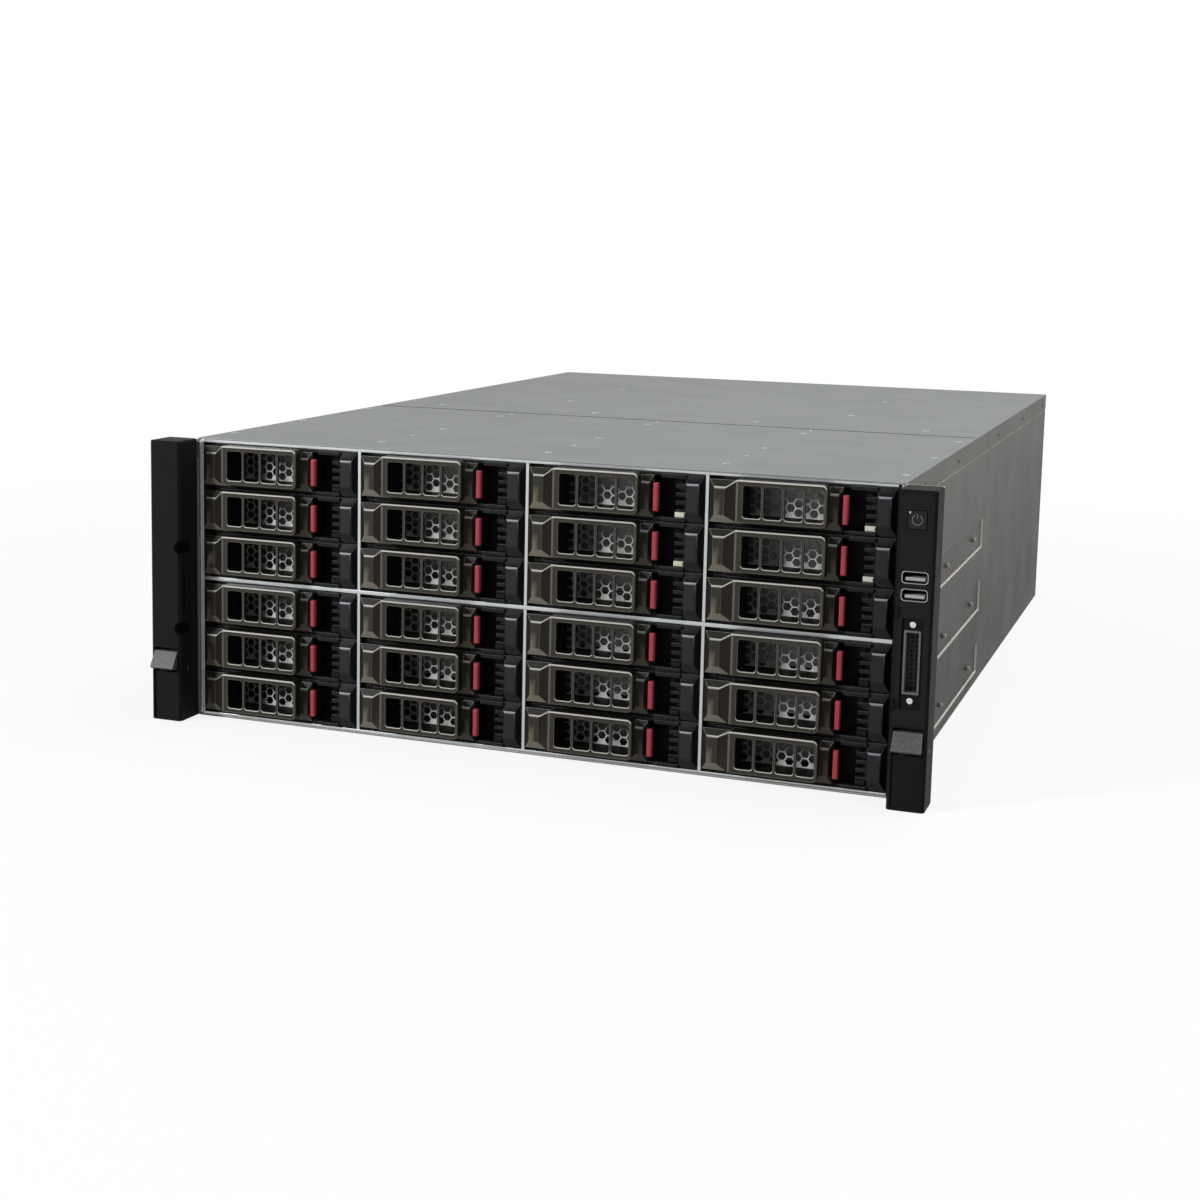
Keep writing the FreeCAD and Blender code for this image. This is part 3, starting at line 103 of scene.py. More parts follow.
class ServerColours(PropertyGroup):
    """Colours of the finishes."""

    cover: colour_property("Cover", "Satin paint of the top covers", (0.215, 0.225, 0.225))
    # The side colour is the tray's zinc darkened: a painted shade on the outer walls and the covers' skirts.
    side: colour_property("Side", "Zinc-coated side walls", (0.126, 0.119, 0.107))
    tray: colour_property("Tray", "Zinc-coated inside and rear of the tray", (0.240, 0.236, 0.226))
    cage: colour_property("Cage", "Bright steel of the drive cage", (0.420, 0.440, 0.440))
    ear: colour_property("Ear", "Moulded plastic of the ears", (0.0085, 0.0085, 0.0085))
    fascia: colour_property("Fascia", "Gloss plastic of the control panel", (0.005, 0.005, 0.005))
    latch: colour_property("Latch", "Metal-flake paint of the ear latches", (0.075, 0.075, 0.075))
    bezel: colour_property("Bezel", "Plastic of the drive carriers", (0.006, 0.006, 0.006))
    slate: colour_property("Slate", "Plastic of the carriers' end blocks", (0.026, 0.026, 0.029))
    lever: colour_property("Lever", "Bronze paint of the carrier levers", (0.036, 0.033, 0.0255))
    # The glint colour is a painted highlight on the levers' upper edges.
    glint: colour_property("Glint", "Rubbed upper edges of the levers", (0.480, 0.470, 0.430))
    release: colour_property("Release", "Red plastic of the release tabs", (0.310, 0.042, 0.054))
    header: colour_property("Header", "Grey plastic of the pin header", (0.110, 0.110, 0.108))
    circuit: colour_property("Circuit", "Solder mask of the boards", (0.012, 0.075, 0.030))
    floor: colour_property("Floor", "Studio floor", (0.950, 0.950, 0.950))


class ServerStage(PropertyGroup):
    """Camera and light."""

    camera_place: FloatVectorProperty(name="Camera place", description="Where the camera stands",
                                      default=(0.4003, -1.0176, 0.3071), size=3, subtype="TRANSLATION",
                                      unit="LENGTH")
    camera_aim: FloatVectorProperty(name="Camera aim", description="Point on the camera's axis",
                                    default=(-0.0156, 0.0964, 0.1455), size=3, subtype="TRANSLATION",
                                    unit="LENGTH")
    camera_roll: FloatProperty(name="Camera roll", description="Turn about the camera's axis",
                               default=math.radians(1.129), subtype="ANGLE", unit="ROTATION")
    camera_lens: FloatProperty(name="Lens", description="Focal length in millimetres on a 36 mm sensor",
                               default=56.84)
    camera_rise: FloatProperty(name="Camera rise", description="Upright shift of the frame", default=-0.0917)
    camera_side: FloatProperty(name="Camera side", description="Level shift of the frame", default=0.0333)
    ambient: FloatProperty(name="Ambient", description="Strength of the even light", default=0.15)
    key_power: FloatProperty(name="Key light", description="Power of the soft box at the left", default=68.0,
                             subtype="POWER", unit="POWER")
    top_power: FloatProperty(name="Top light", description="Power of the soft box overhead", default=15.0,
                             subtype="POWER", unit="POWER")
    side_power: FloatProperty(name="Side light", description="Power of the soft box at the right",
                              default=4.5, subtype="POWER", unit="POWER")


# Shader graphs

class Value:
    """A shader socket; arithmetic on it adds Math nodes."""

    def __init__(self, graph, socket):
        self.graph = graph
        self.socket = socket

    def math(self, operation, first, second):
        return self.graph.node("ShaderNodeMath", {"operation": operation}, {0: first, 1: second})

    def __add__(self, other):
        return self.math("ADD", self, other)

    def __radd__(self, other):
        return self.math("ADD", other, self)

    def __mul__(self, other):
        return self.math("MULTIPLY", self, other)

    def __rmul__(self, other):
        return self.math("MULTIPLY", other, self)


class Graph:
    """The nodes of one material or of the world."""

    def __init__(self, tree):
        self.tree = tree

    def node(self, kind, settings=None, sockets=None, output=0):
        """Add one node: its settings first, then the values or links of its sockets."""
        added = self.tree.nodes.new(kind)
        for key, setting in (settings or {}).items():
            if key == "stops":
                self.set_stops(added.color_ramp, setting)
            else:
                setattr(added, key, setting)
        for key, value in (sockets or {}).items():
            self.feed(added.inputs[key], value)
        return Value(self, added.outputs[output])

    def set_stops(self, ramp, stops):
        for index, (position, grey) in enumerate(stops):
            if index >= len(ramp.elements):
                ramp.elements.new(position)
            ramp.elements[index].position = position
            ramp.elements[index].color = (grey, grey, grey, 1)

    def feed(self, socket, value):
        if isinstance(value, Value):
            self.tree.links.new(value.socket, socket)
        else:
            socket.default_value = value

    def place(self, stretch=(1, 1, 1)):
        """Object coordinates, stretched along an axis where a grain runs."""
        point = self.node("ShaderNodeTexCoord", output="Object")
        return self.node("ShaderNodeMapping", {}, {"Vector": point, "Scale": stretch})

    def noise(self, scale, detail=2.0, stretch=(1, 1, 1)):
        return self.node("ShaderNodeTexNoise", {},
                         {"Vector": self.place(stretch), "Scale": scale, "Detail": detail})

    def cells(self, scale, output="Distance"):
        return self.node("ShaderNodeTexVoronoi", {}, {"Vector": self.place(), "Scale": scale}, output)

    def ramp(self, value, *stops):
        return self.node("ShaderNodeValToRGB", {"stops": stops}, {"Fac": value})

    def mix(self, mask, first, second):
        """Blend two colours."""
        colours = {0: mask, 6: opaque(first), 7: opaque(second)}
        return self.node("ShaderNodeMix", {"data_type": "RGBA"}, colours, output=2)

    def facing(self, x, y, z, low, high):
        """A mask that rises from 0 to 1 as the surface turns to a direction of the piece."""
        normal = self.node("ShaderNodeTexCoord", output="Normal")
        sockets = {0: normal, 1: (x, y, z)}
        share = self.node("ShaderNodeVectorMath", {"operation": "DOT_PRODUCT"}, sockets, "Value")
        return self.ramp(share, (low, 0.0), (high, 1.0))

    def bump(self, height, distance, strength=1.0):
        return self.node("ShaderNodeBump", {}, {"Strength": strength, "Distance": distance, "Height": height})


def opaque(colour):
    """A colour with its alpha, or a link as it is."""
    if isinstance(colour, Value):
        return colour
    return (*colour[:3], 1)


def shade(colour, share):
    """A colour made lighter or darker."""
    return tuple(min(1, channel * share) for channel in colour[:3])


def new_finish(name, constants, **links):
    """A material with constant sockets and varying ones; links are functions of the graph."""
    material = bpy.data.materials.new(name)
    material.use_nodes = True
    graph = Graph(material.node_tree)
    shader = material.node_tree.nodes["Principled BSDF"]
    for key, value in constants.items():
        shader.inputs[key].default_value = value
    for key, build in links.items():
        graph.feed(shader.inputs[key.replace("_", " ").title()], build(graph))
    return material


def sheet_finish(name, colour, rough, texture, metallic=0.0, specular=0.2, foot=1.0):
    """Painted or coated sheet: slow blotches and a fine surface, with a painted shade that darkens it by a
    share towards the foot.
    """
    def base(graph):
        height = graph.node("ShaderNodeSeparateXYZ", {}, {"Vector": graph.place()}, "Z")
        # Painted shade: below a height the sheet darkens by the share foot.
        head = graph.ramp(height * 5.0, (0.25, 0.0), (0.85, 1.0))
        blotch = graph.mix(graph.noise(9.0, 4.0), shade(colour, 0.93), shade(colour, 1.07))
        foot_shaded_blotch = graph.mix(graph.noise(9.0, 4.0), shade(colour, 0.93 * foot), shade(colour, 1.07 * foot))
        return graph.mix(head, foot_shaded_blotch, blotch)

    return new_finish(name, {"Metallic": metallic, "Specular IOR Level": specular},
                      base_color=base,
                      roughness=lambda graph: graph.noise(26.0, 3.0) * 0.16 + (rough - 0.08),
                      normal=lambda graph: graph.bump(graph.noise(texture, 3.0), 0.00006, 0.5))


def brushed_finish(name, colour, rough, stretch, metallic=1.0):
    """Bright metal with fine lines along one axis."""
    def base(graph):
        lines = graph.noise(900.0, 3.0, stretch)
        return graph.mix(lines, shade(colour, 0.82), shade(colour, 1.12))

    return new_finish(name, {"Metallic": metallic, "Specular IOR Level": 0.2},
                      base_color=base,
                      roughness=lambda graph: graph.noise(700.0, 2.0, stretch) * 0.2 + (rough - 0.1),
                      normal=lambda graph: graph.bump(graph.noise(1200.0, 2.0, stretch), 0.00003, 0.4))


def moulded_finish(name, colour, rough, grain, depth, specular=0.2):
    """Moulded plastic: spark-eroded grain and uneven gloss."""
    return new_finish(name, {"Specular IOR Level": specular},
                      base_color=lambda graph: graph.mix(graph.noise(60.0, 4.0), shade(colour, 0.8),
                                                         shade(colour, 1.25)),
                      roughness=lambda graph: graph.noise(110.0, 3.0) * 0.14 + (rough - 0.07),
                      normal=lambda graph: graph.bump(graph.noise(grain, 3.0), depth, 0.6))


def flake_finish(name, colour, metallic, rough, flake, sparkle, specular=0.2):
    """Metal-flake paint: each small cell tilts and shades a little differently."""
    def base(graph):
        cell = graph.cells(flake, "Color")
        tone = graph.node("ShaderNodeRGBToBW", {}, {"Color": cell})
        return graph.mix(tone, shade(colour, 1 - sparkle), shade(colour, 1 + sparkle))

    return new_finish(name, {"Metallic": metallic, "Specular IOR Level": specular},
                      base_color=base,
                      roughness=lambda graph: graph.noise(45.0, 3.0) * 0.16 + (rough - 0.08),
                      normal=lambda graph: graph.bump(graph.cells(flake), 0.00005, 0.35))


def lever_finish(name, colour, dim, under, rough, flake, specular):
    """Flake paint with a painted shade on every flank, darker than on the front, and a painted reflection
    that makes slopes that look down paler.
    """
    def base(graph):
        cell = graph.cells(flake, "Color")
        tone = graph.node("ShaderNodeRGBToBW", {}, {"Color": cell})
        speckle = graph.mix(tone, shade(colour, 0.75), shade(colour, 1.25))
        # Painted shade on every flank, and a painted reflection that makes slopes that look down paler.
        front = graph.mix(graph.facing(0, -1, 0, 0.90, 0.98), shade(colour, dim), speckle)
        return graph.mix(graph.facing(0, -0.92, -0.39, 0.95, 0.99), front, shade(colour, under))

    return new_finish(name, {"Specular IOR Level": specular},
                      base_color=base,
                      roughness=lambda graph: graph.noise(45.0, 3.0) * 0.16 + (rough - 0.08),
                      normal=lambda graph: graph.bump(graph.cells(flake), 0.00004, 0.3))


def glint_finish(name, dark, bright, rough, turn):
    """A painted highlight on an edge: bright where it looks along a direction, dark elsewhere."""
    return new_finish(name, {"Specular IOR Level": 0.2},
                      base_color=lambda graph: graph.mix(graph.facing(*turn, 0.37, 0.54), dark, bright),
                      roughness=lambda graph: graph.noise(200.0, 3.0) * 0.2 + (rough - 0.1))


def circuit_finish(name, colour):
    """Solder mask over copper tracks."""
    def tracks(graph):
        lines = graph.node("ShaderNodeTexBrick", {"offset": 0.37}, {
            "Vector": graph.place(), "Scale": 70.0, "Mortar Size": 0.035, "Color1": (0, 0, 0, 1),
            "Color2": (0.35, 0.35, 0.35, 1), "Mortar": (1, 1, 1, 1)})
        return graph.ramp(lines, (0.1, 0.0), (0.9, 1.0))

    return new_finish(name, {"Specular IOR Level": 0.4},
                      base_color=lambda graph: graph.mix(tracks(graph), colour, shade(colour, 2.2)),
                      roughness=lambda graph: graph.noise(80.0, 3.0) * 0.2 + 0.3,
                      normal=lambda graph: graph.bump(tracks(graph), 0.00004, 0.4))


def cast_finish(name, colour, rough, metallic=0.85):
    """Die-cast metal with a fine pitted skin."""
    return new_finish(name, {"Metallic": metallic, "Specular IOR Level": 0.2},
                      base_color=lambda graph: graph.mix(graph.noise(140.0, 5.0), shade(colour, 0.8),
                                                         shade(colour, 1.15)),
                      roughness=lambda graph: graph.noise(300.0, 3.0) * 0.2 + (rough - 0.1),
                      normal=lambda graph: graph.bump(graph.noise(1500.0, 4.0), 0.00006, 0.5))


def colour_of(name, share=1.0):
    """One of the colours above, lighter or darker by a share."""
    return shade(tuple(getattr(bpy.context.scene.server_colours, name)), share)


# Directions that the painted highlights on rounded edges face.
UPWARD = (0, -0.35, 0.94)
FORWARD = (0, -0.71, 0.71)
FINISHES = {
    "cover_satin": ("cover_steel", sheet_finish,
                    dict(colour="cover", rough=0.5, texture=1600.0, specular=0.12)),
    # The cover edge: the cover colour lightened on the rounded edges, a painted highlight.
    "cover_edge": ("cover_steel", sheet_finish, dict(colour=("cover", 1.6), rough=0.4, texture=1600.0)),
    # The seam finish: the cover colour darkened where the covers meet, a painted shade.
    "cover_seam": ("cover_steel", sheet_finish,
                   dict(colour=("cover", 0.12), rough=0.6, texture=1600.0, specular=0.0)),
    "cover_dimple": ("cover_steel", cast_finish, dict(colour=("cover", 2.0), rough=0.32, metallic=0.6)),
    # The side zinc: the tray's zinc darkened, a painted shade on the outer walls and skirts, darker still
    # towards the foot.
    "side_zinc": ("side_steel", sheet_finish,
                  dict(colour="side", rough=0.5, texture=900.0, specular=0.15, foot=0.15)),
    # The side edge: a painted highlight on the rounded edges and steps of the pressed recesses.
    "side_edge": ("side_steel", glint_finish,
                  dict(dark=("side", 0.7), bright=("side", 6.5), rough=0.4, turn=FORWARD)),
    "tray_zinc": ("side_steel", sheet_finish, dict(colour="tray", rough=0.5, texture=900.0, specular=0.15)),
    "stud_zinc": ("side_steel", cast_finish, dict(colour=(0.30, 0.29, 0.27), rough=0.4, metallic=0.3)),
    "cage_bright": ("cage_steel", brushed_finish, dict(colour="cage", rough=0.36, stretch=(1, 0.06, 1))),
    "grille_steel": ("cage_steel", brushed_finish,
                     dict(colour=(0.52, 0.52, 0.51), rough=0.5, stretch=(0.1, 1, 1), metallic=0.0)),
    "ear_grain": ("ear_plastic", moulded_finish,
                  dict(colour="ear", rough=0.55, grain=1900.0, depth=0.00008, specular=0.04)),
    # The ear edge: a painted highlight on the ears' rounded edges that face up.
    "ear_edge": ("ear_plastic", glint_finish, dict(dark="ear", bright=("ear", 22.0), rough=0.4, turn=UPWARD)),
    "fascia_gloss": ("fascia_plastic", moulded_finish,
                     dict(colour="fascia", rough=0.14, grain=400.0, depth=0.000006, specular=0.14)),
    # The fascia edge: a painted highlight on the fascia's rounded edges that face up.
    "fascia_edge": ("fascia_plastic", glint_finish,
                    dict(dark=("fascia", 4.0), bright=("fascia", 30.0), rough=0.3, turn=UPWARD)),
    "socket_dark": ("fascia_plastic", moulded_finish,
                    dict(colour=(0.006, 0.006, 0.006), rough=0.6, grain=900.0, depth=0.00003, specular=0.1)),
    "button_satin": ("button_plastic", moulded_finish,
                     dict(colour=("fascia", 1.3), rough=0.3, grain=1500.0, depth=0.00003)),
    "mark_white": ("button_plastic", moulded_finish,
                   dict(colour=(0.50, 0.51, 0.52), rough=0.4, grain=900.0, depth=0.00002)),
    "mark_grey": ("button_plastic", moulded_finish,
                  dict(colour=(0.16, 0.155, 0.15), rough=0.4, grain=900.0, depth=0.00002)),
    "pipe_cream": ("button_plastic", moulded_finish,
                   dict(colour=(0.62, 0.61, 0.50), rough=0.4, grain=900.0, depth=0.00002)),
    "latch_flake": ("latch_grey", flake_finish,
                    dict(colour="latch", metallic=0.3, rough=0.45, flake=2600.0, sparkle=0.5)),
    # The latch edge: the latch colour lightened on the rounded edges, a painted highlight.
    "latch_edge": ("latch_grey", flake_finish,
                   dict(colour=("latch", 1.8), metallic=0.3, rough=0.4, flake=2600.0, sparkle=0.3)),
    "bezel_black": ("carrier_black", moulded_finish,
                    dict(colour="bezel", rough=0.5, grain=1700.0, depth=0.00005, specular=0.06)),
    # The slate of the end blocks: painted shade on every flank, and a painted reflection on slopes that look
    # down.
    "bezel_slate": ("carrier_black", lever_finish,
                    dict(colour="slate", dim=0.15, under=0.7, rough=0.45, flake=3000.0, specular=0.05)),
    # The rib finish: the slate darkened, a painted shade for the comb deep in the pocket; the lips take it
    # too.
    "bezel_rib": ("carrier_black", moulded_finish,
                  dict(colour=("slate", 0.6), rough=0.5, grain=1700.0, depth=0.00005, specular=0.05)),
    # The bezel edge: a painted highlight on the bezels' rounded edges that face up.
    "bezel_edge": ("carrier_black", glint_finish,
                   dict(dark="bezel", bright=("slate", 10.0), rough=0.4, turn=UPWARD)),
    # The lever paint: painted shade on every flank, and a painted reflection on slopes that look down.
    "lever_paint": ("lever_bronze", lever_finish,
                    dict(colour="lever", dim=0.3, under=5.0, rough=0.42, flake=4200.0, specular=0.08)),
    # The lever edge: a painted highlight on the levers' rounded edges that face up.
    "lever_edge": ("lever_bronze", glint_finish,
                   dict(dark=("lever", 2.4), bright="glint", rough=0.35, turn=UPWARD)),
    "release_cap": ("release_red", moulded_finish,
                    dict(colour="release", rough=0.42, grain=1400.0, depth=0.00003)),
    "socket_nickel": ("socket_metal", brushed_finish,
                      dict(colour=(0.34, 0.335, 0.32), rough=0.35, stretch=(1, 0.1, 1))),
    "tongue_pale": ("socket_metal", moulded_finish,
                    dict(colour=(0.36, 0.36, 0.35), rough=0.45, grain=900.0, depth=0.00002)),
    "header_grey": ("header_plastic", moulded_finish,
                    dict(colour="header", rough=0.5, grain=1500.0, depth=0.00003)),
    "pin_bright": ("pin_steel", brushed_finish,
                   dict(colour=(0.60, 0.60, 0.59), rough=0.3, stretch=(0.1, 1, 1))),
    "pin_dark": ("pin_steel", cast_finish, dict(colour=(0.05, 0.05, 0.05), rough=0.4, metallic=0.0)),
    "screw_zinc": ("pin_steel", cast_finish, dict(colour=(0.55, 0.55, 0.54), rough=0.34)),
    "board_mask": ("circuit_green", circuit_finish, dict(colour="circuit")),
    "fan_black": ("fan_plastic", moulded_finish,
                  dict(colour=(0.016, 0.016, 0.017), rough=0.4, grain=900.0, depth=0.00004)),
    "heatsink_bare": ("heatsink_metal", brushed_finish,
                      dict(colour=(0.72, 0.73, 0.74), rough=0.34, stretch=(1, 0.05, 1))),
    "supply_zinc": ("supply_metal", sheet_finish,
                    dict(colour=(0.46, 0.46, 0.45), rough=0.4, texture=900.0, metallic=0.6)),
    "drive_cast": ("supply_metal", cast_finish, dict(colour=(0.30, 0.30, 0.31), rough=0.42)),
}


def mixed_colour(value):
    """A colour given by its name, by its name and a share, or by its numbers."""
    if isinstance(value, str):
        return colour_of(value)
    if isinstance(value[0], str):
        return colour_of(*value)
    return value


def finish(name):
    """The finish of that name, mixed the first time it is asked for."""
    found = bpy.data.materials.get(name)
    if found is None:
        maker, settings = FINISHES[name][1:]
        given = [key for key in ("colour", "dark", "bright") if key in settings]
        colours = {key: mixed_colour(settings[key]) for key in given}
        found = maker(name, **{**settings, **colours})
    return found


# Modelling by hand

def deselect():
    """Leave edit mode and select nothing."""
    active = bpy.context.view_layer.objects.active
    if active is not None and active.mode != "OBJECT":
        bpy.ops.object.mode_set(mode="OBJECT")
    bpy.ops.object.select_all(action="DESELECT")


def activate(piece):
    """Make one piece the only selected one."""
    deselect()
    piece.select_set(True)
    bpy.context.view_layer.objects.active = piece


class Shaper:
    """A piece in work: a primitive at its size and place, shaped by edit-mode steps and modifiers."""

    def __init__(self, piece):
        self.piece = piece

    @classmethod
    def named(cls, name):
        """Take the primitive just added, with its place in its mesh."""
        piece = bpy.context.object
        piece.name = name
        piece.data.name = name
        bpy.ops.object.transform_apply(location=True, rotation=True, scale=True)
        return cls(piece)

    @classmethod
    def box(cls, name, low, high):
        """A block between two corners, in millimetres."""
        deselect()
        low = Vector(low) * MM
        high = Vector(high) * MM
        bpy.ops.mesh.primitive_cube_add(size=1, location=(low + high) / 2, scale=high - low)
        return cls.named(name)

    @classmethod
    def rod(cls, name, radius, start, end, sides=24, twist=0.0):
        """A round bar between two points, in millimetres, twisted about its own axis in degrees."""
        deselect()
        start = Vector(start) * MM
        end = Vector(end) * MM
        along = (end - start).to_track_quat("Z", "Y").to_matrix()
        turn = (along @ Matrix.Rotation(math.radians(twist), 3, "Z")).to_euler()
        bpy.ops.mesh.primitive_cylinder_add(vertices=sides, radius=radius * MM, depth=(end - start).length,
                                            location=(start + end) / 2, rotation=turn)
        return cls.named(name)

    @classmethod
    def ring(cls, name, middle, radius, wire, axis, sides=36):
        """A wire ring about an axis, in millimetres."""
        deselect()
        turn = Vector(axis).to_track_quat("Z", "Y").to_euler()
        bpy.ops.mesh.primitive_torus_add(major_segments=sides, minor_segments=8, major_radius=radius * MM,
                                         minor_radius=wire * MM, location=Vector(middle) * MM, rotation=turn)
        return cls.named(name)

    def pick(self, kind, test):
        """Select faces, edges or corners by a test, in edit mode."""
        activate(self.piece)
        bpy.ops.object.mode_set(mode="EDIT")
        bpy.ops.mesh.select_mode(type=kind)
        bpy.ops.mesh.select_all(action="DESELECT")
        shape = bmesh.from_edit_mesh(self.piece.data)
        items = {"FACE": shape.faces, "EDGE": shape.edges, "VERT": shape.verts}[kind]
        for item in items:
            item.select_set(bool(test(item)))
        shape.select_flush_mode()
        bmesh.update_edit_mesh(self.piece.data)
        return self

    def facing(self, x, y, z):
        """Select the faces that look one way."""
        way = Vector((x, y, z))
        return self.pick("FACE", lambda face: face.normal.dot(way) > 0.99)

    def upright(self, axis, test=lambda middle: True):
        """Select the edges that run along an axis, 0 to 2, and whose middle passes a test in millimetres."""
        def along(edge):
            run = edge.verts[1].co - edge.verts[0].co
            middle = (edge.verts[0].co + edge.verts[1].co) / (2 * MM)
            return abs(run[axis]) > 0.99 * run.length and test(middle)

        return self.pick("EDGE", along)

    def rim(self, depth):
        """Select the edges that lie in a plane across Y, at a depth in millimetres."""
        def level(edge):
            return all(abs(corner.co.y / MM - depth) < 0.01 for corner in edge.verts)

        return self.pick("EDGE", level)

    def extrude(self, x, y, z):
        """Pull the selected faces out, in millimetres."""
        step = {"value": Vector((x, y, z)) * MM}
        bpy.ops.mesh.extrude_region_move(TRANSFORM_OT_translate=step)
        return self

    def resize(self, x, y, z, middle):
        """Scale the selection about a point in millimetres."""
        bpy.ops.transform.resize(value=(x, y, z), center_override=Vector(middle) * MM)
        return self

    def shift(self, x, y, z):
        """Move the selection, in millimetres."""
        bpy.ops.transform.translate(value=Vector((x, y, z)) * MM)
        return self

    def inset(self, border, depth=0.0):
        """Inset the selected faces, in millimetres."""
        bpy.ops.mesh.inset(thickness=border * MM, depth=depth * MM, use_individual=True)
        return self

    def bevel(self, width, segments=3, slot=-1):
        """Round the selected edges, in metres, into a material slot where one is given."""
        bpy.ops.mesh.bevel(offset=width, segments=segments, affect="EDGES", clamp_overlap=True, material=slot)
        return self

    def paint_picked(self, material):
        """Give the selected faces a finish of their own."""
        self.piece.data.materials.append(material)
        self.piece.active_material_index = len(self.piece.data.materials) - 1
        bpy.ops.object.material_slot_assign()
        return self

    def apply(self, kind, **settings):
        """Add a modifier and apply it."""
        activate(self.piece)
        modifier = self.piece.modifiers.new(kind.title(), kind)
        for key, setting in settings.items():
            setattr(modifier, key, setting)
        bpy.ops.object.modifier_apply(modifier=modifier.name)
        return self

    def cut(self, *tools):
        """Take other shapes away, and remove them."""
        return self.combine("DIFFERENCE", *tools)

    def combine(self, operation, *tools):
        """Join or cut with other shapes, and remove them."""
        for tool in tools:
            self.apply("BOOLEAN", operation=operation, solver="EXACT", object=tool.piece)
            bpy.data.objects.remove(tool.piece)
        return self

    def repeat(self, count, x=0.0, y=0.0, z=0.0):
        """Repeat the shape in a row, with a step in millimetres."""
        return self.apply("ARRAY", count=count, use_relative_offset=False, use_constant_offset=True,
                          constant_offset_displace=Vector((x, y, z)) * MM)

    def merge(self):
        """Turn a CAD copy's loose triangles into whole faces."""
        activate(self.piece)
        bpy.ops.object.mode_set(mode="EDIT")
        bpy.ops.mesh.select_all(action="SELECT")
        bpy.ops.mesh.customdata_custom_splitnormals_clear()
        bpy.ops.mesh.remove_doubles(threshold=0.002 * MM)
        bpy.ops.mesh.dissolve_limited(angle_limit=math.radians(0.5))
        bpy.ops.mesh.vert_connect_concave()
        bpy.ops.object.mode_set(mode="OBJECT")
        return self

    def weld(self):
        """Join the corners that a union leaves side by side."""
        activate(self.piece)
        bpy.ops.object.mode_set(mode="EDIT")
        bpy.ops.mesh.select_all(action="SELECT")
        bpy.ops.mesh.remove_doubles(threshold=0.02 * MM)
        bpy.ops.object.mode_set(mode="OBJECT")
        return self

    def dress(self, name, edge):
        """Give the piece its finish, and another one for the edges that are rounded later."""
        self.piece.data.materials.append(finish(name))
        self.piece.data.materials.append(finish(edge))
        return self

    def round_edges(self, width, segments=2):
        """Round every sharp edge by a width in metres, and shade the rest smooth."""
        edge_slot = 1 if len(self.piece.data.materials) > 1 else -1
        self.apply("BEVEL", width=width, segments=segments, limit_method="ANGLE", material=edge_slot,
                   angle_limit=SHARP, use_clamp_overlap=True, miter_outer="MITER_ARC")
        activate(self.piece)
        bpy.ops.object.shade_smooth_by_angle(angle=SMOOTH)
        self.apply("WEIGHTED_NORMAL", keep_sharp=True, weight=50)
        return self

    def join(self, *others):
        """Take other pieces into this one as they are."""
        activate(self.piece)
        for other in others:
            other.piece.select_set(True)
        bpy.ops.object.join()
        return self

    def copy(self, name, place):
        """A copy with its own mesh, moved or turned by a matrix."""
        piece = bpy.data.objects.new(name, self.piece.data.copy())
        piece.data.name = name
        piece.data.transform(place)
        bpy.context.scene.collection.objects.link(piece)
        return Shaper(piece)

    def copies(self, name, places):
        """Copies at several places as one piece; the pattern itself is removed."""
        made = [self.copy(f"{name}_{index}", place) for index, place in enumerate(places)]
        bpy.data.objects.remove(self.piece)
        made[0].join(*made[1:])
        made[0].piece.name = name
        made[0].piece.data.name = name
        return made[0]

    def settle(self, name, body, *nodes):
        """Finish the piece, let it ride on a body, and let it stand for CAD nodes."""
        deselect()
        if not self.piece.data.materials:
            self.piece.data.materials.append(finish(name))
        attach(self.piece, body)
        if nodes:
            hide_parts(*nodes)
        return self


def cad_copy(node):
    """A merged copy of a CAD node."""
    piece = bpy.data.objects.new(f"{node}_finished", frame["nodes"][node].data.copy())
    piece.data.materials.clear()
    bpy.context.scene.collection.objects.link(piece)
    return Shaper(piece).merge()


def soften(node, name, width, segments=2, edge=None):
    """A rounded copy of a CAD node stands for it, with its edges in a finish of their own where asked."""
    piece = cad_copy(node)
    if edge is not None:
        piece.dress(name, edge)
    return piece.round_edges(width, segments).settle(name, body_of[node], node)


def span(node):
    """Lowest and highest corner of a CAD node in millimetres."""
    low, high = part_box(node)
    return low / MM, high / MM


def spot(x, y, z, turn=None):
    """A place in millimetres, with a turn that points a shape's top elsewhere."""
    place = Matrix.Translation(Vector((x, y, z)) * MM)
    if turn is not None:
        place = place @ Vector(turn).to_track_quat("Z", "Y").to_matrix().to_4x4()
    return place


def cross_screw(name, radius, rise):
    """A domed screw head with a cross recess, pointing up, in millimetres."""
    head = Shaper.rod(name, radius, (0, 0, -rise), (0, 0, rise * 0.4), 20)
    head.facing(0, 0, 1).extrude(0, 0, rise * 0.4).resize(0.82, 0.82, 1, (0, 0, 0))
    head.extrude(0, 0, rise * 0.2).resize(0.6, 0.6, 1, (0, 0, 0))
    arm = radius * 0.62
    bar = radius * 0.13
    slot = Shaper.box("slot", (-arm, -bar, rise * 0.1), (arm, bar, rise * 2))
    cross = Shaper.box("cross", (-bar, -arm, rise * 0.1), (bar, arm, rise * 2))
    head.cut(slot, cross)
    activate(head.piece)
    bpy.ops.object.shade_smooth_by_angle(angle=SMOOTH_HEAD)
    return head


def rivet(name, radius, rise):
    """A flush rivet with a sunk middle, pointing up, in millimetres."""
    head = Shaper.rod(name, radius, (0, 0, -rise), (0, 0, rise * 0.5), 20)
    head.facing(0, 0, 1).extrude(0, 0, rise * 0.5).resize(0.8, 0.8, 1, (0, 0, 0))
    head.inset(radius * 0.3).extrude(0, 0, -rise * 0.7)
    activate(head.piece)
    bpy.ops.object.shade_smooth_by_angle(angle=SMOOTH_HEAD)
    return head


# Pieces

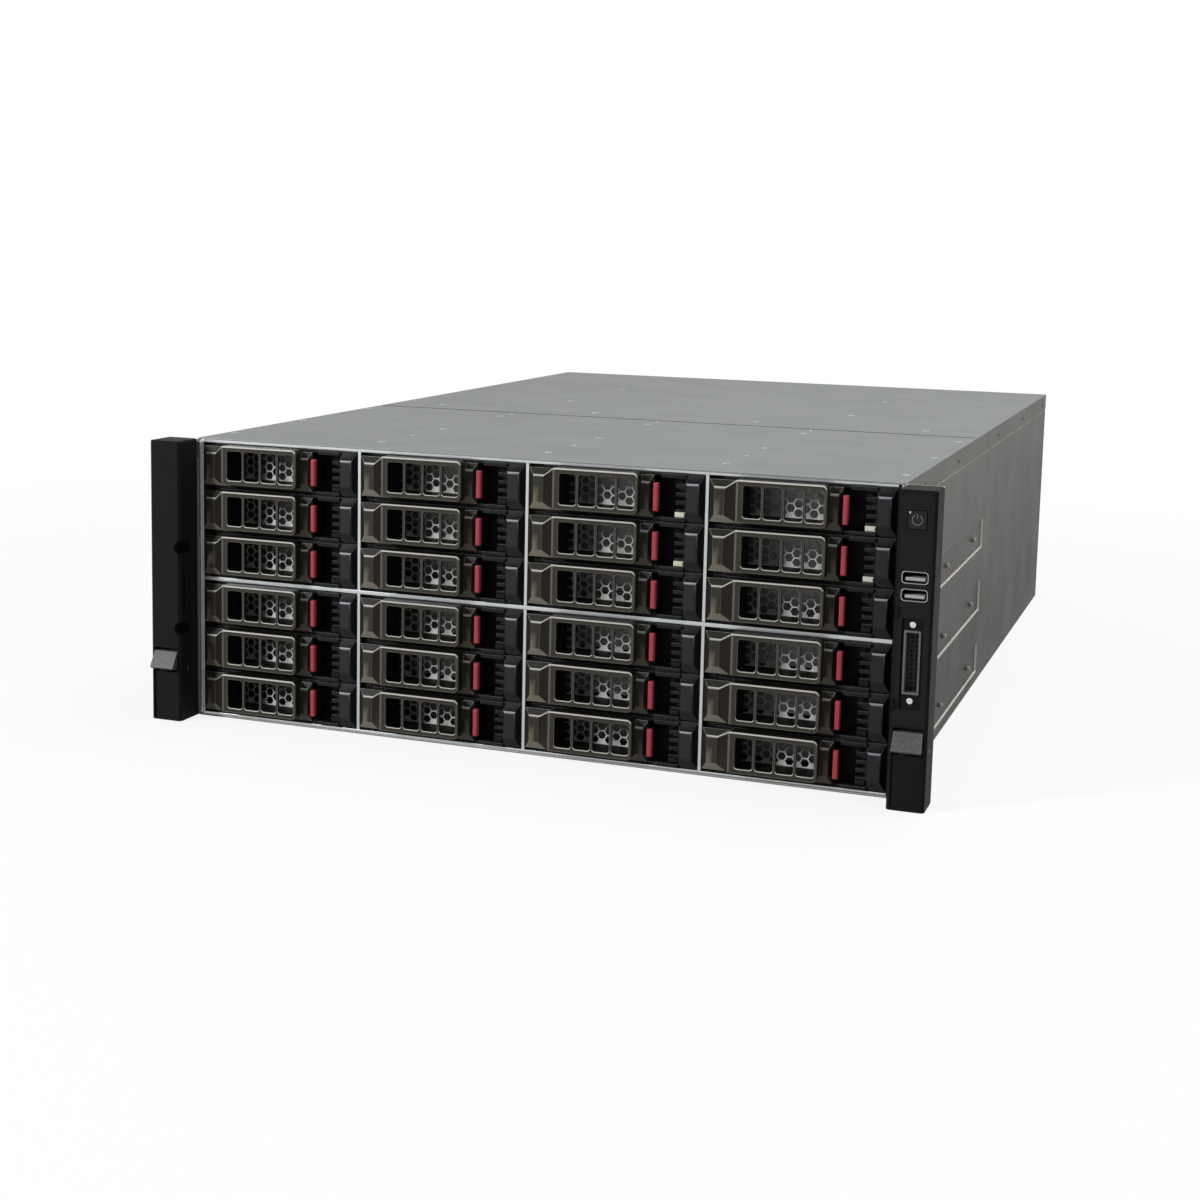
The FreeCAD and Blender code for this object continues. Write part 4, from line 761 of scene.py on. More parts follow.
class SERVER_OT_covers(Operator):
    """Dress the two top covers and set their screws"""

    bl_idname = "server.covers"
    bl_label = "Covers"

    def execute(self, context):
        sizes = context.scene.server_sizes
        screw = sizes.cover_screw / MM
        dot = sizes.cover_rivet / MM
        top = span("front_cover")[1].z
        seam = span("front_cover")[1].y
        for node in ("front_cover", "rear_cover"):
            cover = cad_copy(node).dress("cover_satin", "cover_edge")
            # The seam's rounding takes the darkened seam finish: a painted shade.
            cover.piece.data.materials.append(finish("cover_seam"))
            cover.upright(0, lambda middle: middle.z > top - 0.1 and abs(middle.y - seam) < 1.0)
            cover.bevel(sizes.seam_edge, 2, 2).round_edges(sizes.sheet_edge, 3)
            # The skirts take the darker side zinc: a painted shade.
            cover.pick("FACE", lambda face: abs(face.normal.x) > 0.9).paint_picked(finish("side_zinc"))
            cover.settle("cover_satin", body_of[node], node)
        columns = (-214.0, -110.0, 0.0, 110.0, 214.0)
        heads = [spot(x, y, top) for y in (34.0, 125.0, 226.0) for x in columns]
        rise = 0.5
        flush = 0.4
        screws = cross_screw("screw", screw, rise).copies("front_cover_screws", heads)
        screws.settle("cover_dimple", "chassis")
        dots = [spot(x, y, top) for y in (78.0, 246.0) for x in columns[1:4]]
        rivet("rivet", dot, flush).copies("front_cover_rivets", dots).settle("cover_dimple", "chassis")
        rear = [spot(x, 286.0, top) for x in (-182.0, -60.0, 62.0, 182.0)]
        rear += [spot(x, y, top) for y in (370.0, 500.0) for x in (-110.0, 112.0)]
        screws = cross_screw("screw", screw, rise).copies("rear_cover_screws", rear)
        screws.settle("cover_dimple", "rear_cover")
        low, high = span("rear_cover")
        skirt_middle = 169.0
        fixed = []
        sliding = []
        for side, edge in ((-1, low.x), (1, high.x)):
            fixed += [spot(edge, y, skirt_middle, (side, 0, 0)) for y in (182.0, 60.0)]
            sliding += [spot(edge, y, skirt_middle, (side, 0, 0)) for y in (364.0, 502.0, 635.0)]
        rivet("rivet", dot, flush).copies("front_skirt_rivets", fixed).settle("side_zinc", "chassis")
        rivet("rivet", dot, flush).copies("rear_skirt_rivets", sliding).settle("side_zinc", "rear_cover")
        return {"FINISHED"}


class SERVER_OT_tray(Operator):
    """Dress the chassis tray and the rail studs"""

    bl_idname = "server.tray"
    bl_label = "Tray"

    def execute(self, context):
        sizes = context.scene.server_sizes
        tray = cad_copy("chassis_tray").dress("tray_zinc", "side_edge").round_edges(sizes.recess_edge)
        # The outer walls take the darker side zinc: a painted shade.
        tray.pick("FACE", self.on_flank).paint_picked(finish("side_zinc"))
        # The recess steps take the bright edge finish: a painted highlight.
        tray.pick("FACE", self.on_step).paint_picked(finish("side_edge"))
        tray.settle("side_zinc", "chassis", "chassis_tray")
        soften("rail_studs", "stud_zinc", sizes.sheet_edge)
        return {"FINISHED"}

    def on_flank(self, face):
        """True on the outer faces of the side walls."""
        across = face.calc_center_median().x / MM
        outward = abs(across) > span("drive_cage")[1].x and face.normal.x * across > 0
        return outward and face.material_index == 0

    def on_step(self, face):
        """True on the steps that border the side recesses."""
        middle = face.calc_center_median() / MM
        sunk = span("rear_cover")[1].x - abs(middle.x)
        in_recess = 5.0 < middle.z < 125.0 and 5.0 < middle.y < 310.0
        return in_recess and 0.1 < sunk < 1.35 and abs(face.normal.x) < 0.6


class SERVER_OT_cage(Operator):
    """Dress the drive cage"""

    bl_idname = "server.cage"
    bl_label = "Drive cage"

    def execute(self, context):
        cage = cad_copy("drive_cage")
        cage.piece.data.materials.append(finish("cage_bright"))
        cage.round_edges(context.scene.server_sizes.sheet_edge)
        # Front faces right of the carriers take the black bezel finish: a painted shade.
        inner = span("carrier_c4r1")[1].x
        cage.pick("FACE", lambda face: face.calc_center_median().x / MM > inner and face.normal.y < -0.5)
        cage.paint_picked(finish("bezel_black")).settle("cage_bright", "chassis", "drive_cage")
        self.trim(context.scene.server_sizes)
        return {"FINISHED"}

    def trim(self, sizes):
        """The bright folded edge between the left wall and the first column."""
        low, high = span("drive_cage")
        trim = Shaper.box("left_trim", (low.x - 2.3, -1.2, low.z + 1.0), (low.x + 0.7, 0.2, high.z - 1.0))
        trim.facing(0, -1, 0).inset(0.5).extrude(0, -0.2, 0)
        trim.round_edges(sizes.sheet_edge).settle("cage_bright", "chassis")


class SERVER_OT_carriers(Operator):
    """Model one drive carrier and copy it to the 24 bays"""

    bl_idname = "server.carriers"
    bl_label = "Drive carriers"

    # Places in millimetres from the carrier's lower left corner
    BLOCK_FRONT = -3.0
    TAB_FRONT = -3.0
    TAB_TOP = 21.0
    RAMP = (9.0, 18.5)
    GRIP_FRONT = -10.0
    WINDOW_LOW = (21.9, 6.2)
    WINDOW_HIGH = (32.1, 24.2)
    WINDOW_STEP = 11.8
    WINDOWS = 4
    # Bays whose light pipe is painted pale as if lit; the pipes of the other bays are painted dark.
    PAINTED_LIT_BAYS = ("c3r1", "c3r2", "c4r1", "c4r2")

    def execute(self, context):
        sizes = context.scene.server_sizes
        patterns = {
            "bezel": (self.bezel(sizes), "bezel_black"),
            "lever": (self.lever(sizes), "lever_paint"),
            "tab": (self.tab(), "release_cap"),
            "grille": (self.grille(sizes), "grille_steel"),
            "drive": (self.drive(sizes), "drive_cast"),
            "pipe": (self.light_pipe(), "pipe_cream"),
        }
        for node in [name for name in frame["nodes"] if name.startswith("carrier_")]:
            bay = node.split("_")[1]
            corner = span(node)[0]
            place = spot(corner.x, 0, corner.z)
            for part, (pattern, name) in patterns.items():
                moving = {"lever": f"lever_{bay}", "tab": f"release_tab_{bay}"}.get(part)
                body = node
                stands_for = [node] if part == "bezel" else []
                if moving in frame["nodes"]:
                    body = moving
                    stands_for = [moving]
                # The pipes of the other bays take the dark socket finish: a painted shade.
                if part == "pipe" and bay not in self.PAINTED_LIT_BAYS:
                    name = "socket_dark"
                pattern.copy(f"{part}_{bay}_finished", place).settle(name, body, *stands_for)
        for part in patterns:
            bpy.data.objects.remove(patterns[part][0].piece)
        return {"FINISHED"}

    def bezel(self, sizes):
        """The carrier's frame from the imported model, with comb, lips and indicator windows."""
        whole = cad_copy("carrier_c1r1")
        corner = span("carrier_c1r1")[0]
        activate(whole.piece)
        bpy.ops.object.mode_set(mode="EDIT")
        bpy.ops.mesh.select_all(action="SELECT")
        bpy.ops.mesh.separate(type="LOOSE")
        bpy.ops.object.mode_set(mode="OBJECT")
        parts = sorted(bpy.context.selected_objects, key=lambda part: part.dimensions.y)
        frame_part = parts.pop()
        for part in parts:
            bpy.data.objects.remove(part)
        frame_part.data.transform(spot(-corner.x, 0, -corner.z))
        frame_part.name = "bezel"
        bezel = Shaper(frame_part)
        comb = Shaper.box("comb", (88.6, 1.2, 5.5), (95.6, 9.6, 24.4))
        comb.cut(Shaper.box("comb_slots", (88.0, 0.0, 6.6), (94.4, 8.6, 9.4)).repeat(4, z=4.8))
        upper = Shaper.box("upper_lip", (80.5, -2.2, 25.0), (94.9, 0.2, 27.1))
        lower = Shaper.box("lower_lip", (80.5, -2.2, 0.3), (94.9, 0.2, 2.1))
        bezel.join(comb, upper, lower).dress("bezel_black", "bezel_edge")
        # The block's front rim is rounded into the edge finish: a painted highlight.
        bezel.rim(self.BLOCK_FRONT).bevel(sizes.block_edge, 3, 1).round_edges(sizes.bezel_edge)
        bezel.pick("FACE", self.on_block).paint_picked(finish("bezel_slate"))
        # The comb and lips take the darkened rib finish: a painted shade.
        bezel.pick("FACE", self.on_rib).paint_picked(finish("bezel_rib"))
        return bezel

    def on_block(self, face):
        """True on the faces of the end block and of the two lips."""
        middle = face.calc_center_median() / MM
        return middle.x > 80.0 and middle.y < -0.1 and face.material_index == 0

    def on_rib(self, face):
        """True on the faces of the comb in the pocket and of the two lips."""
        middle = face.calc_center_median() / MM
        on_comb = 88.0 < middle.x < 95.65 and 1.0 < middle.y < 9.0 and 5.2 < middle.z < 24.6
        on_lip = 80.0 < middle.x < 95.0 and -2.3 < middle.y < -0.3
        return (on_comb or on_lip) and face.material_index != 1

    def lever(self, sizes):
        """The handle: a tapered plate, and a raised hollow grip with four windows and a ramp."""
        plate = Shaper.box("lever", (0.5, -1.2, 1.6), (76.2, -0.4, 25.8))
        plate.facing(0, -1, 0).extrude(0, -1.8, 0)
        plate.resize(70.4 / 75.7, 1, 15.6 / 24.2, (38.35, 0, 13.7)).shift(0.25, 0, 0)
        grip = Shaper.box("grip", (18.3, self.GRIP_FRONT, 3.2), (69.2, -0.4, 27.2))
        grip.facing(-1, 0, 0).extrude(-9.1, 0, 0)
        grip.resize(1, 2.6 / 9.6, 15.6 / 24.0, (9.2, -0.4, 15.2)).shift(0, 0, -1.5)
        grip.upright(1, lambda middle: middle.x > 69.0).bevel(sizes.grip_corner, 4)
        grip.combine("UNION", plate).weld().dress("lever_paint", "lever_edge")
        # The crest is rounded into the edge finish: a painted highlight.
        grip.pick("EDGE", self.on_crest).bevel(sizes.grip_edge, 3, 1)
        left, bottom = self.WINDOW_LOW
        right, top = self.WINDOW_HIGH
        window = Shaper.box("windows", (left, self.GRIP_FRONT - 2.0, bottom),
                            (right, self.GRIP_FRONT + 4.0, top))
        window.upright(1).bevel(sizes.window_corner, 4)
        window.repeat(self.WINDOWS, x=self.WINDOW_STEP)
        hollow = Shaper.box("hollow", (20.6, -8.0, 5.3), (67.2, 1.0, 25.1))
        grip.cut(hollow, window)
        # The window rims are rounded into the edge finish: a painted highlight.
        grip.pick("EDGE", self.on_window_rim).bevel(sizes.sill_edge, 3, 1)
        grip.round_edges(sizes.lever_edge)
        grip.pick("FACE", self.in_hollow).paint_picked(finish("bezel_black"))
        return grip

    def on_crest(self, edge):
        """True on the grip's rim, the upper edges of the tabs and the ridge that leads up from a tab."""
        first, second = sorted((corner.co / MM for corner in edge.verts), key=lambda corner: corner.x)
        front = self.GRIP_FRONT + 0.1
        on_rim = max(first.y, second.y) < front
        is_top = min(first.z, second.z) > self.TAB_TOP
        on_tab = all(abs(corner.y - self.TAB_FRONT) < 0.02 for corner in (first, second))
        across = self.RAMP[0] < first.x < second.x - 1.0 and second.x < self.RAMP[1]
        return on_rim or (is_top and (on_tab or (across and second.y < front)))

    def on_window_rim(self, edge):
        """True on the front edges of the windows."""
        corners = [corner.co / MM for corner in edge.verts]
        slack = 0.1
        left, bottom = self.WINDOW_LOW
        right = self.WINDOW_HIGH[0] + (self.WINDOWS - 1) * self.WINDOW_STEP + slack
        top = self.WINDOW_HIGH[1] + slack
        in_front = all(abs(corner.y - self.GRIP_FRONT) < slack / 2 for corner in corners)
        level = all(bottom - slack < corner.z < top for corner in corners)
        inside = all(left - slack < corner.x < right for corner in corners)
        return in_front and level and inside and edge.calc_face_angle(0) > SHARP

    def in_hollow(self, face):
        """True on the inner walls of the grip."""
        middle = face.calc_center_median() / MM
        return middle.y > -8.3 and 20.0 < middle.x < 67.6 and 5.0 < middle.z < 25.4

    def tab(self):
        """The release tab: a domed red cap on a dark blade."""
        tab = Shaper.box("tab", (76.9, -4.6, 5.4), (80.1, -2.4, 22.0))
        tab.facing(0, -1, 0).extrude(0, -0.9, 0).resize(0.75, 1, 0.92, (78.5, -5.5, 13.7))
        tab.piece.data.materials.append(finish("release_cap"))
        tab.round_edges(0.7 * MM, 3)
        blade = Shaper.box("blade", (77.0, -2.6, 6.0), (79.2, 8.4, 21.4))
        blade.facing(0, 1, 0).extrude(0, 1.5, 0).resize(0.8, 1, 0.8, (78.1, 9.9, 13.7))
        blade.piece.data.materials.append(finish("bezel_black"))
        return tab.join(blade)

    def grille(self, sizes):
        """Steel plate with hexagonal air holes above a solid strip."""
        plate = Shaper.box("grille", (18.5, 12.0, 3.0), (70.0, 12.8, 26.0))
        side = sizes.cell_side / MM
        pitch = side * 1.5
        tall = side * math.sqrt(3)
        radius = side - sizes.cell_strut / MM / math.sqrt(3)
        cell = Shaper.rod("cells", radius, (21.4, 11.0, 7.9), (21.4, 14.0, 7.9), 6, 30.0)
        even = cell.copy("even_cells", Matrix.Identity(4)).repeat(6, x=pitch * 2).repeat(4, z=tall)
        odd = cell.copy("odd_cells", spot(pitch, 0, tall / 2)).repeat(5, x=pitch * 2).repeat(3, z=tall)
        bpy.data.objects.remove(cell.piece)
        plate.cut(even, odd)
        return plate

    def drive(self, sizes):
        """The disk drive: a cast body with a sunk lid above and a shallow hollow below."""
        low = Vector((2.2, 38.5, 0.7))
        high = low + Vector((101.6, 147.0, 26.1))
        drive = Shaper.box("drive", low, high)
        drive.facing(0, 0, 1).inset(3.0).extrude(0, 0, -0.5)
        drive.facing(0, 0, -1).inset(4.0).extrude(0, 0, 0.8)
        drive.upright(2).bevel(2.0 * MM, 3)
        return drive.round_edges(sizes.bezel_edge)

    def light_pipe(self):
        """The small light pipe in the recess beside the tab."""
        pipe = Shaper.box("pipe", (88.4, 0.6, 2.2), (94.4, 6.0, 5.2))
        pipe.facing(0, -1, 0).inset(0.4).extrude(0, -0.4, 0)
        return pipe.round_edges(0.2 * MM)


class SERVER_OT_ears(Operator):
    """Dress the ears with their latches and pins"""

    bl_idname = "server.ears"
    bl_label = "Ears"

    def execute(self, context):
        sizes = context.scene.server_sizes
        for node in ("left_ear", "right_ear"):
            top = span(node)[1].z
            ear = cad_copy(node).dress("ear_grain", "ear_edge")
            ear.upright(1, lambda middle: middle.z > top - 0.1).bevel(sizes.ear_corner, 5)
            if node == "right_ear":
                ear.cut(self.taller_seat(sizes)).merge()
            ear.round_edges(sizes.moulded_edge, 3).settle("ear_grain", "chassis", node)
        for node in ("left_ear_latch", "right_ear_latch"):
            soften(node, "latch_flake", sizes.bezel_edge, 3, "latch_edge")
        soften("latch_pins", "pin_dark", sizes.sheet_edge)
        return {"FINISHED"}

    def taller_seat(self, sizes):
        """Room in the right ear for the fascia's taller head."""
        low, high = span("control_panel")
        top = high.z + sizes.panel_rise / MM
        return Shaper.box("seat", (low.x, low.y - 1.0, high.z - 1.0), (high.x, high.y, top))


class SERVER_OT_controls(Operator):
    """Dress the control panel, button, sockets and pin header"""

    bl_idname = "server.controls"
    bl_label = "Controls"

    def execute(self, context):
        sizes = context.scene.server_sizes
        low, high = span("control_panel")
        fascia = cad_copy("control_panel").dress("fascia_gloss", "fascia_edge")
        top = high.z + sizes.panel_rise / MM
        head = Shaper.box("head", (low.x, low.y, high.z - 1.0), (high.x, high.y, top))
        head.upright(1, lambda middle: middle.z > high.z).bevel(sizes.panel_corner, 4)
        fascia.combine("UNION", head).merge()
        fascia.round_edges(sizes.sheet_edge, 3).settle("fascia_gloss", "chassis", "control_panel")
        soften("control_board", "board_mask", sizes.sheet_edge)
        soften("power_button", "button_satin", sizes.bezel_edge, 3)
        header = cad_copy("panel_connector")
        header.piece.data.materials.append(finish("header_grey"))
        header.round_edges(sizes.sheet_edge)
        low, high = span("panel_connector")
        ends = (low.z + 4.0, high.z - 4.0)
        header.pick("FACE", lambda face: not ends[0] < face.calc_center_median().z / MM < ends[1])
        header.paint_picked(finish("screw_zinc")).settle("header_grey", "chassis", "panel_connector")
        self.power_mark()
        self.sockets(sizes)
        self.header_pins()
        return {"FINISHED"}

    def power_mark(self):
        """Ring and bar on the button, and its light."""
        low, high = span("power_button")
        middle = (low + high) / 2
        stroke = 0.24
        mark = Shaper.ring("power_mark", (middle.x, low.y, middle.z), 2.7, stroke, (0, 1, 0))
        gap = math.radians(34)

        def in_gap(face):
            spoke = face.calc_center_median() / MM - middle
            return abs(math.atan2(spoke.x, spoke.z)) < gap

        mark.pick("FACE", in_gap)
        bpy.ops.mesh.delete(type="FACE")
        bpy.ops.mesh.select_all(action="SELECT")
        bpy.ops.mesh.fill_holes(sides=8)
        foot = (middle.x, low.y, middle.z + 0.5)
        bar = Shaper.rod("bar", stroke, foot, (middle.x, low.y, middle.z + 3.3), 10)
        mark.join(bar).round_edges(0.05 * MM)
        mark.settle("mark_grey", "power_button")
        light = Shaper.box("power_light", (middle.x - 4.4, low.y - 0.15, middle.z + 3.4),
                           (middle.x - 3.4, low.y + 0.4, middle.z + 4.4))
        light.facing(0, -1, 0).inset(0.2).extrude(0, -0.1, 0)
        light.round_edges(0.08 * MM).settle("mark_white", "power_button")

    def sockets(self, sizes):
        """Two sockets: nickel shell, dark inside, pale contact tongue."""
        low, high = span("usb_ports")
        middle = (low + high) / 2
        shells = cad_copy("usb_ports")
        shells.piece.data.materials.append(finish("socket_dark"))
        shells.round_edges(sizes.sheet_edge)
        shells.settle("socket_nickel", "chassis", "usb_ports")
        half = 3.4
        wall = 0.45
        face = low.y - 0.1
        for name, centre in (("lower", low.z + half), ("upper", high.z - half)):
            rim = Shaper.box(f"usb_rim_{name}", (low.x, face, centre - half),
                             (high.x, face + 2.0, centre + half))
            rim.upright(1).bevel(1.7 * MM, 2)
            inner = Shaper.box("inner", (low.x + wall, face - 1.0, centre - half + wall),
                               (high.x - wall, face + 3.0, centre + half - wall))
            inner.upright(1).bevel(1.5 * MM, 2)
            rim.cut(inner).round_edges(0.1 * MM).settle("socket_nickel", "chassis")
            tongue = Shaper.box(f"usb_tongue_{name}", (middle.x - 5.6, low.y + 1.5, centre - 1.95),
                                (middle.x + 5.6, low.y + 11.0, centre - 0.05))
            tongue.facing(0, -1, 0).extrude(0, -0.3, 0).resize(0.96, 1, 0.7, (middle.x, 0, centre - 1.0))
            tongue.round_edges(0.1 * MM).settle("tongue_pale", "chassis")

    def header_pins(self):
        """Two columns of contact pins in the shroud."""
        low, high = span("panel_connector")
        middle = (low + high) / 2
        tip = low.y + 3.0
        pin = Shaper.box("header_pins", (middle.x - 1.59, tip, middle.z - 15.5),
                         (middle.x - 0.95, high.y - 4.6, middle.z - 14.9))
        pin.facing(0, -1, 0).extrude(0, -0.5, 0)
        pin.resize(0.4, 1, 0.4, (middle.x - 1.27, tip, middle.z - 15.2))
        pin.repeat(2, x=2.54).repeat(13, z=2.54)
        pin.settle("pin_dark", "chassis")


class SERVER_OT_rear(Operator):
    """Dress the rear panel, sockets, slot covers and power supplies"""

    bl_idname = "server.rear"
    bl_label = "Rear"

    def execute(self, context):
        sizes = context.scene.server_sizes
        looks = {"rear_panel": "tray_zinc", "io_ports": "socket_nickel", "slot_covers": "socket_nickel",
                 "psu_cage": "tray_zinc"}
        for node, name in looks.items():
            soften(node, name, sizes.sheet_edge)
        for place in ("lower", "upper"):
            soften(f"psu_{place}", "supply_zinc", sizes.sheet_edge)
            soften(f"psu_latch_{place}", "release_cap", sizes.sheet_edge)
            self.supply_face(place)
        return {"FINISHED"}

    def supply_face(self, place):
        """Fan guard and inlet blades of one power supply."""
        body = f"psu_{place}"
        low = span(body)[0]
        face = span("rear_panel")[1].y + 1.0
        hub = Vector((low.x + 50.0, face, low.z + 20.0))
        rings = [Shaper.ring("guard_ring", hub, radius, 0.6, (0, 1, 0)) for radius in (4.5, 8.5, 12.5, 16.0)]
        wires = [Shaper.rod("guard_wire", 0.6, hub - Vector(arm), hub + Vector(arm), 10)
                 for arm in ((11.6, 0, 11.6), (11.6, 0, -11.6))]
        guard = rings[0].join(*rings[1:], *wires)
        guard.piece.name = f"psu_guard_{place}"
        activate(guard.piece)
        bpy.ops.object.shade_smooth_by_angle(angle=SMOOTH)
        guard.settle("pin_bright", body)
        blade = Shaper.box(f"psu_inlet_{place}", (low.x + 9.2, face - 15.6, low.z + 22.0),
                           (low.x + 11.2, face - 4.0, low.z + 26.0))
        blade.facing(0, 1, 0).extrude(0, 1.0, 0).resize(0.5, 1, 0.8, (low.x + 10.2, 0, low.z + 24.0))
        blade.repeat(3, x=6.8)
        blade.round_edges(0.15 * MM).settle("pin_bright", body)


class SERVER_OT_inside(Operator):
    """Dress the backplane, fans, motherboard, heatsink and memory"""

    bl_idname = "server.inside"
    bl_label = "Inside"

    def execute(self, context):
        sizes = context.scene.server_sizes
        looks = {"backplane": "board_mask", "fan_wall": "cage_bright", "fan_frames": "fan_black",
                 "fan_rotor_left": "fan_black", "fan_rotor_middle": "fan_black",
                 "fan_rotor_right": "fan_black", "motherboard": "board_mask",
                 "cpu_heatsink": "heatsink_bare", "memory_modules": "board_mask"}
        for node, name in looks.items():
            soften(node, name, sizes.sheet_edge)
        self.slot_sockets()
        self.capacitors()
        self.chips()
        return {"FINISHED"}

    def slot_sockets(self):
        """Seven grooved card sockets in line with the slot covers."""
        top = span("motherboard")[1].z
        row = span("slot_covers")[0].x + 9.0
        socket = Shaper.box("slot_sockets", (row - 3.7, 548.0, top - 0.4), (row + 3.7, 634.0, top + 11.0))
        socket.facing(0, 0, 1).inset(2.4).extrude(0, 0, -7.0)
        socket.round_edges(0.4 * MM)
        socket.repeat(7, x=20.32).settle("fan_black", "chassis")

    def capacitors(self):
        """Cans with a sunk top beside the heatsink and behind the memory."""
        top = span("motherboard")[1].z
        can = Shaper.rod("can", 3.2, (0, 0, -0.3), (0, 0, 8.5), 20)
        can.facing(0, 0, 1).inset(0.6).extrude(0, 0, -0.4)
        can.round_edges(0.25 * MM)
        places = [spot(108.0, 415.0 + 9.5 * step, top) for step in range(9)]
        places += [spot(-70.0 + 9.5 * step, 545.0, top) for step in range(7)]
        can.copies("capacitors", places).settle("drive_cast", "chassis")

    def chips(self):
        """Control chips, and the finned cooler of the largest one."""
        top = span("motherboard")[1].z
        chip = Shaper.box("chip", (-9.0, -9.0, -0.3), (9.0, 9.0, 1.6))
        chip.facing(0, 0, 1).inset(1.2).extrude(0, 0, 0.3)
        chip.round_edges(0.2 * MM)
        corners = ((-95.0, 585.0), (-60.0, 600.0), (20.0, 590.0), (185.0, 380.0))
        places = [spot(x, y, top) for x, y in corners]
        chip.copies("chips", places).settle("fan_black", "chassis")
        cooler = Shaper.box("chip_cooler", (140.0, 440.0, top - 0.3), (180.0, 480.0, top + 14.0))
        cooler.cut(Shaper.box("gap", (142.0, 438.0, top + 3.5), (144.0, 482.0, top + 20.0)).repeat(10, x=3.8))
        cooler.round_edges(0.2 * MM).settle("heatsink_bare", "chassis")


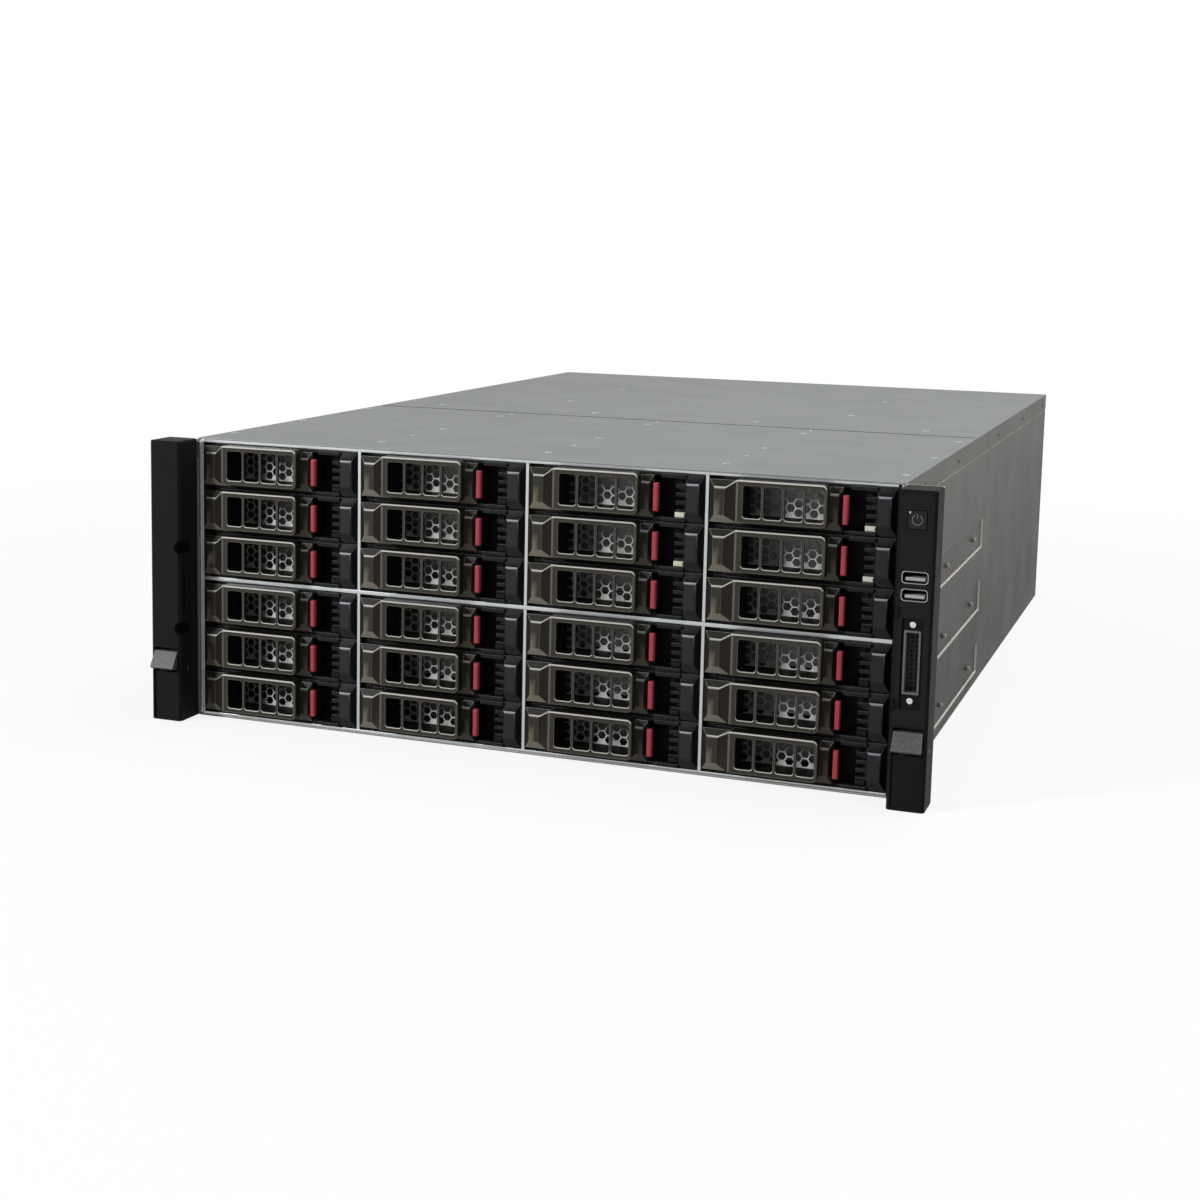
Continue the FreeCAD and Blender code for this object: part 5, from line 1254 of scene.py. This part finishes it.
class SERVER_OT_stage(Operator):
    """Set the floor, the light and the camera"""

    bl_idname = "server.stage"
    bl_label = "Stage"

    def execute(self, context):
        stage = context.scene.server_stage
        context.scene.view_settings.view_transform = "Standard"
        self.floor()
        self.world(stage)
        self.lamp("key_box", (-1.64, -1.84, 0.94), (0.0, 0.0, 0.09), (0.45, 0.35), stage.key_power)
        self.lamp("top_box", (0.55, 0.55, 1.60), (0.10, 0.30, 0.10), (1.4, 1.0), stage.top_power)
        self.lamp("side_box", (1.25, -0.55, 0.75), (0.22, 0.10, 0.10), (0.5, 0.5), stage.side_power)
        self.camera(stage)
        return {"FINISHED"}

    def floor(self):
        """The pale floor, which passes on less light than it shows."""
        deselect()
        bpy.ops.mesh.primitive_plane_add(size=14)
        floor = bpy.context.object
        floor.name = "floor"
        colour = colour_of("floor")
        passed_on = shade(colour, 0.28)
        pale = new_finish("floor_pale", {"Specular IOR Level": 0.0},
                          base_color=lambda graph: graph.mix(self.seen(graph), passed_on, colour),
                          roughness=lambda graph: graph.noise(5.0) * 0.1 + 0.75)
        self.fade(pale)
        floor.data.materials.append(pale)

    def fade(self, pale):
        """Let the floor turn into the white surroundings with distance."""
        tree = pale.node_tree
        graph = Graph(tree)
        away = graph.node("ShaderNodeVectorMath", {"operation": "LENGTH"}, {0: graph.place()}, "Value")
        far = graph.ramp(away * 0.25, (0.10, 0.84), (0.34, 1.0))
        white = graph.node("ShaderNodeEmission", {}, {"Color": (1, 1, 1, 1), "Strength": 1.0})
        matt = Value(graph, tree.nodes["Principled BSDF"].outputs["BSDF"])
        mixed = graph.node("ShaderNodeMixShader", {}, {0: far * self.seen(graph), 1: matt, 2: white})
        graph.feed(tree.nodes["Material Output"].inputs["Surface"], mixed)

    def seen(self, graph):
        """1 for rays that show the surroundings: to the camera, in reflections and through glass."""
        seen = graph.node("ShaderNodeLightPath", output="Is Camera Ray")
        seen = seen + graph.node("ShaderNodeLightPath", output="Is Glossy Ray")
        return seen + graph.node("ShaderNodeLightPath", output="Is Transmission Ray")

    def world(self, stage):
        """Even light, and white for the rays that show the surroundings."""
        world = bpy.data.worlds.new("studio")
        bpy.context.scene.world = world
        world.use_nodes = True
        graph = Graph(world.node_tree)
        light = graph.node("ShaderNodeBackground", {}, {"Color": (1, 1, 1, 1), "Strength": stage.ambient})
        white = graph.node("ShaderNodeBackground", {}, {"Color": (1, 1, 1, 1), "Strength": 1.0})
        mixed = graph.node("ShaderNodeMixShader", {}, {0: self.seen(graph), 1: light, 2: white})
        graph.feed(world.node_tree.nodes["World Output"].inputs["Surface"], mixed)

    def lamp(self, name, place, aim, size, power):
        """One soft box that looks at a point."""
        deselect()
        turn = (Vector(aim) - Vector(place)).to_track_quat("-Z", "Y").to_euler()
        bpy.ops.object.light_add(type="AREA", location=place, rotation=turn)
        lamp = bpy.context.object
        lamp.name = name
        lamp.data.shape = "RECTANGLE"
        lamp.data.size = size[0]
        lamp.data.size_y = size[1]
        lamp.data.energy = power

    def camera(self, stage):
        """The camera at the photograph's viewing angle."""
        deselect()
        place = Vector(stage.camera_place)
        look = (Vector(stage.camera_aim) - place).to_track_quat("-Z", "Y")
        turn = look.to_matrix() @ Matrix.Rotation(stage.camera_roll, 3, "Z")
        bpy.ops.object.camera_add(location=place, rotation=turn.to_euler())
        camera = bpy.context.object
        camera.name = "photo_camera"
        camera.data.sensor_fit = "HORIZONTAL"
        camera.data.sensor_width = 36.0
        camera.data.lens = stage.camera_lens
        camera.data.shift_x = stage.camera_side
        camera.data.shift_y = stage.camera_rise
        camera.data.clip_start = 0.01
        bpy.context.scene.camera = camera


OPERATORS = (SERVER_OT_covers, SERVER_OT_tray, SERVER_OT_cage, SERVER_OT_carriers, SERVER_OT_ears,
             SERVER_OT_controls, SERVER_OT_rear, SERVER_OT_inside, SERVER_OT_stage)


class SERVER_PT_pieces(Panel):
    """Lists the operators and their values"""

    bl_label = "Rack video server"
    bl_idname = "SERVER_PT_pieces"
    bl_space_type = "VIEW_3D"
    bl_region_type = "UI"
    bl_category = "Server"

    def draw(self, context):
        scene = context.scene
        for operator in OPERATORS:
            self.layout.operator(operator.bl_idname)
        for group in (scene.server_sizes, scene.server_colours, scene.server_stage):
            for name in group.__annotations__:
                self.layout.prop(group, name)


GROUPS = {"server_sizes": ServerSizes, "server_colours": ServerColours, "server_stage": ServerStage}


def register():
    for group in GROUPS.values():
        bpy.utils.register_class(group)
    for name, group in GROUPS.items():
        setattr(bpy.types.Scene, name, PointerProperty(type=group))
    for operator in OPERATORS:
        bpy.utils.register_class(operator)
    bpy.utils.register_class(SERVER_PT_pieces)


def unregister():
    bpy.utils.unregister_class(SERVER_PT_pieces)
    for operator in reversed(OPERATORS):
        bpy.utils.unregister_class(operator)
    for name, group in GROUPS.items():
        delattr(bpy.types.Scene, name)
        bpy.utils.unregister_class(group)


def corners(box):
    """A box as plain lists of numbers."""
    return [[float(number) for number in corner] for corner in box]


def main():
    register()
    bpy.ops.server.covers()
    bpy.ops.server.tray()
    bpy.ops.server.cage()
    bpy.ops.server.carriers()
    bpy.ops.server.ears()
    bpy.ops.server.controls()
    bpy.ops.server.rear()
    bpy.ops.server.inside()
    bpy.ops.server.stage()


if __name__ == "__main__":
    main()
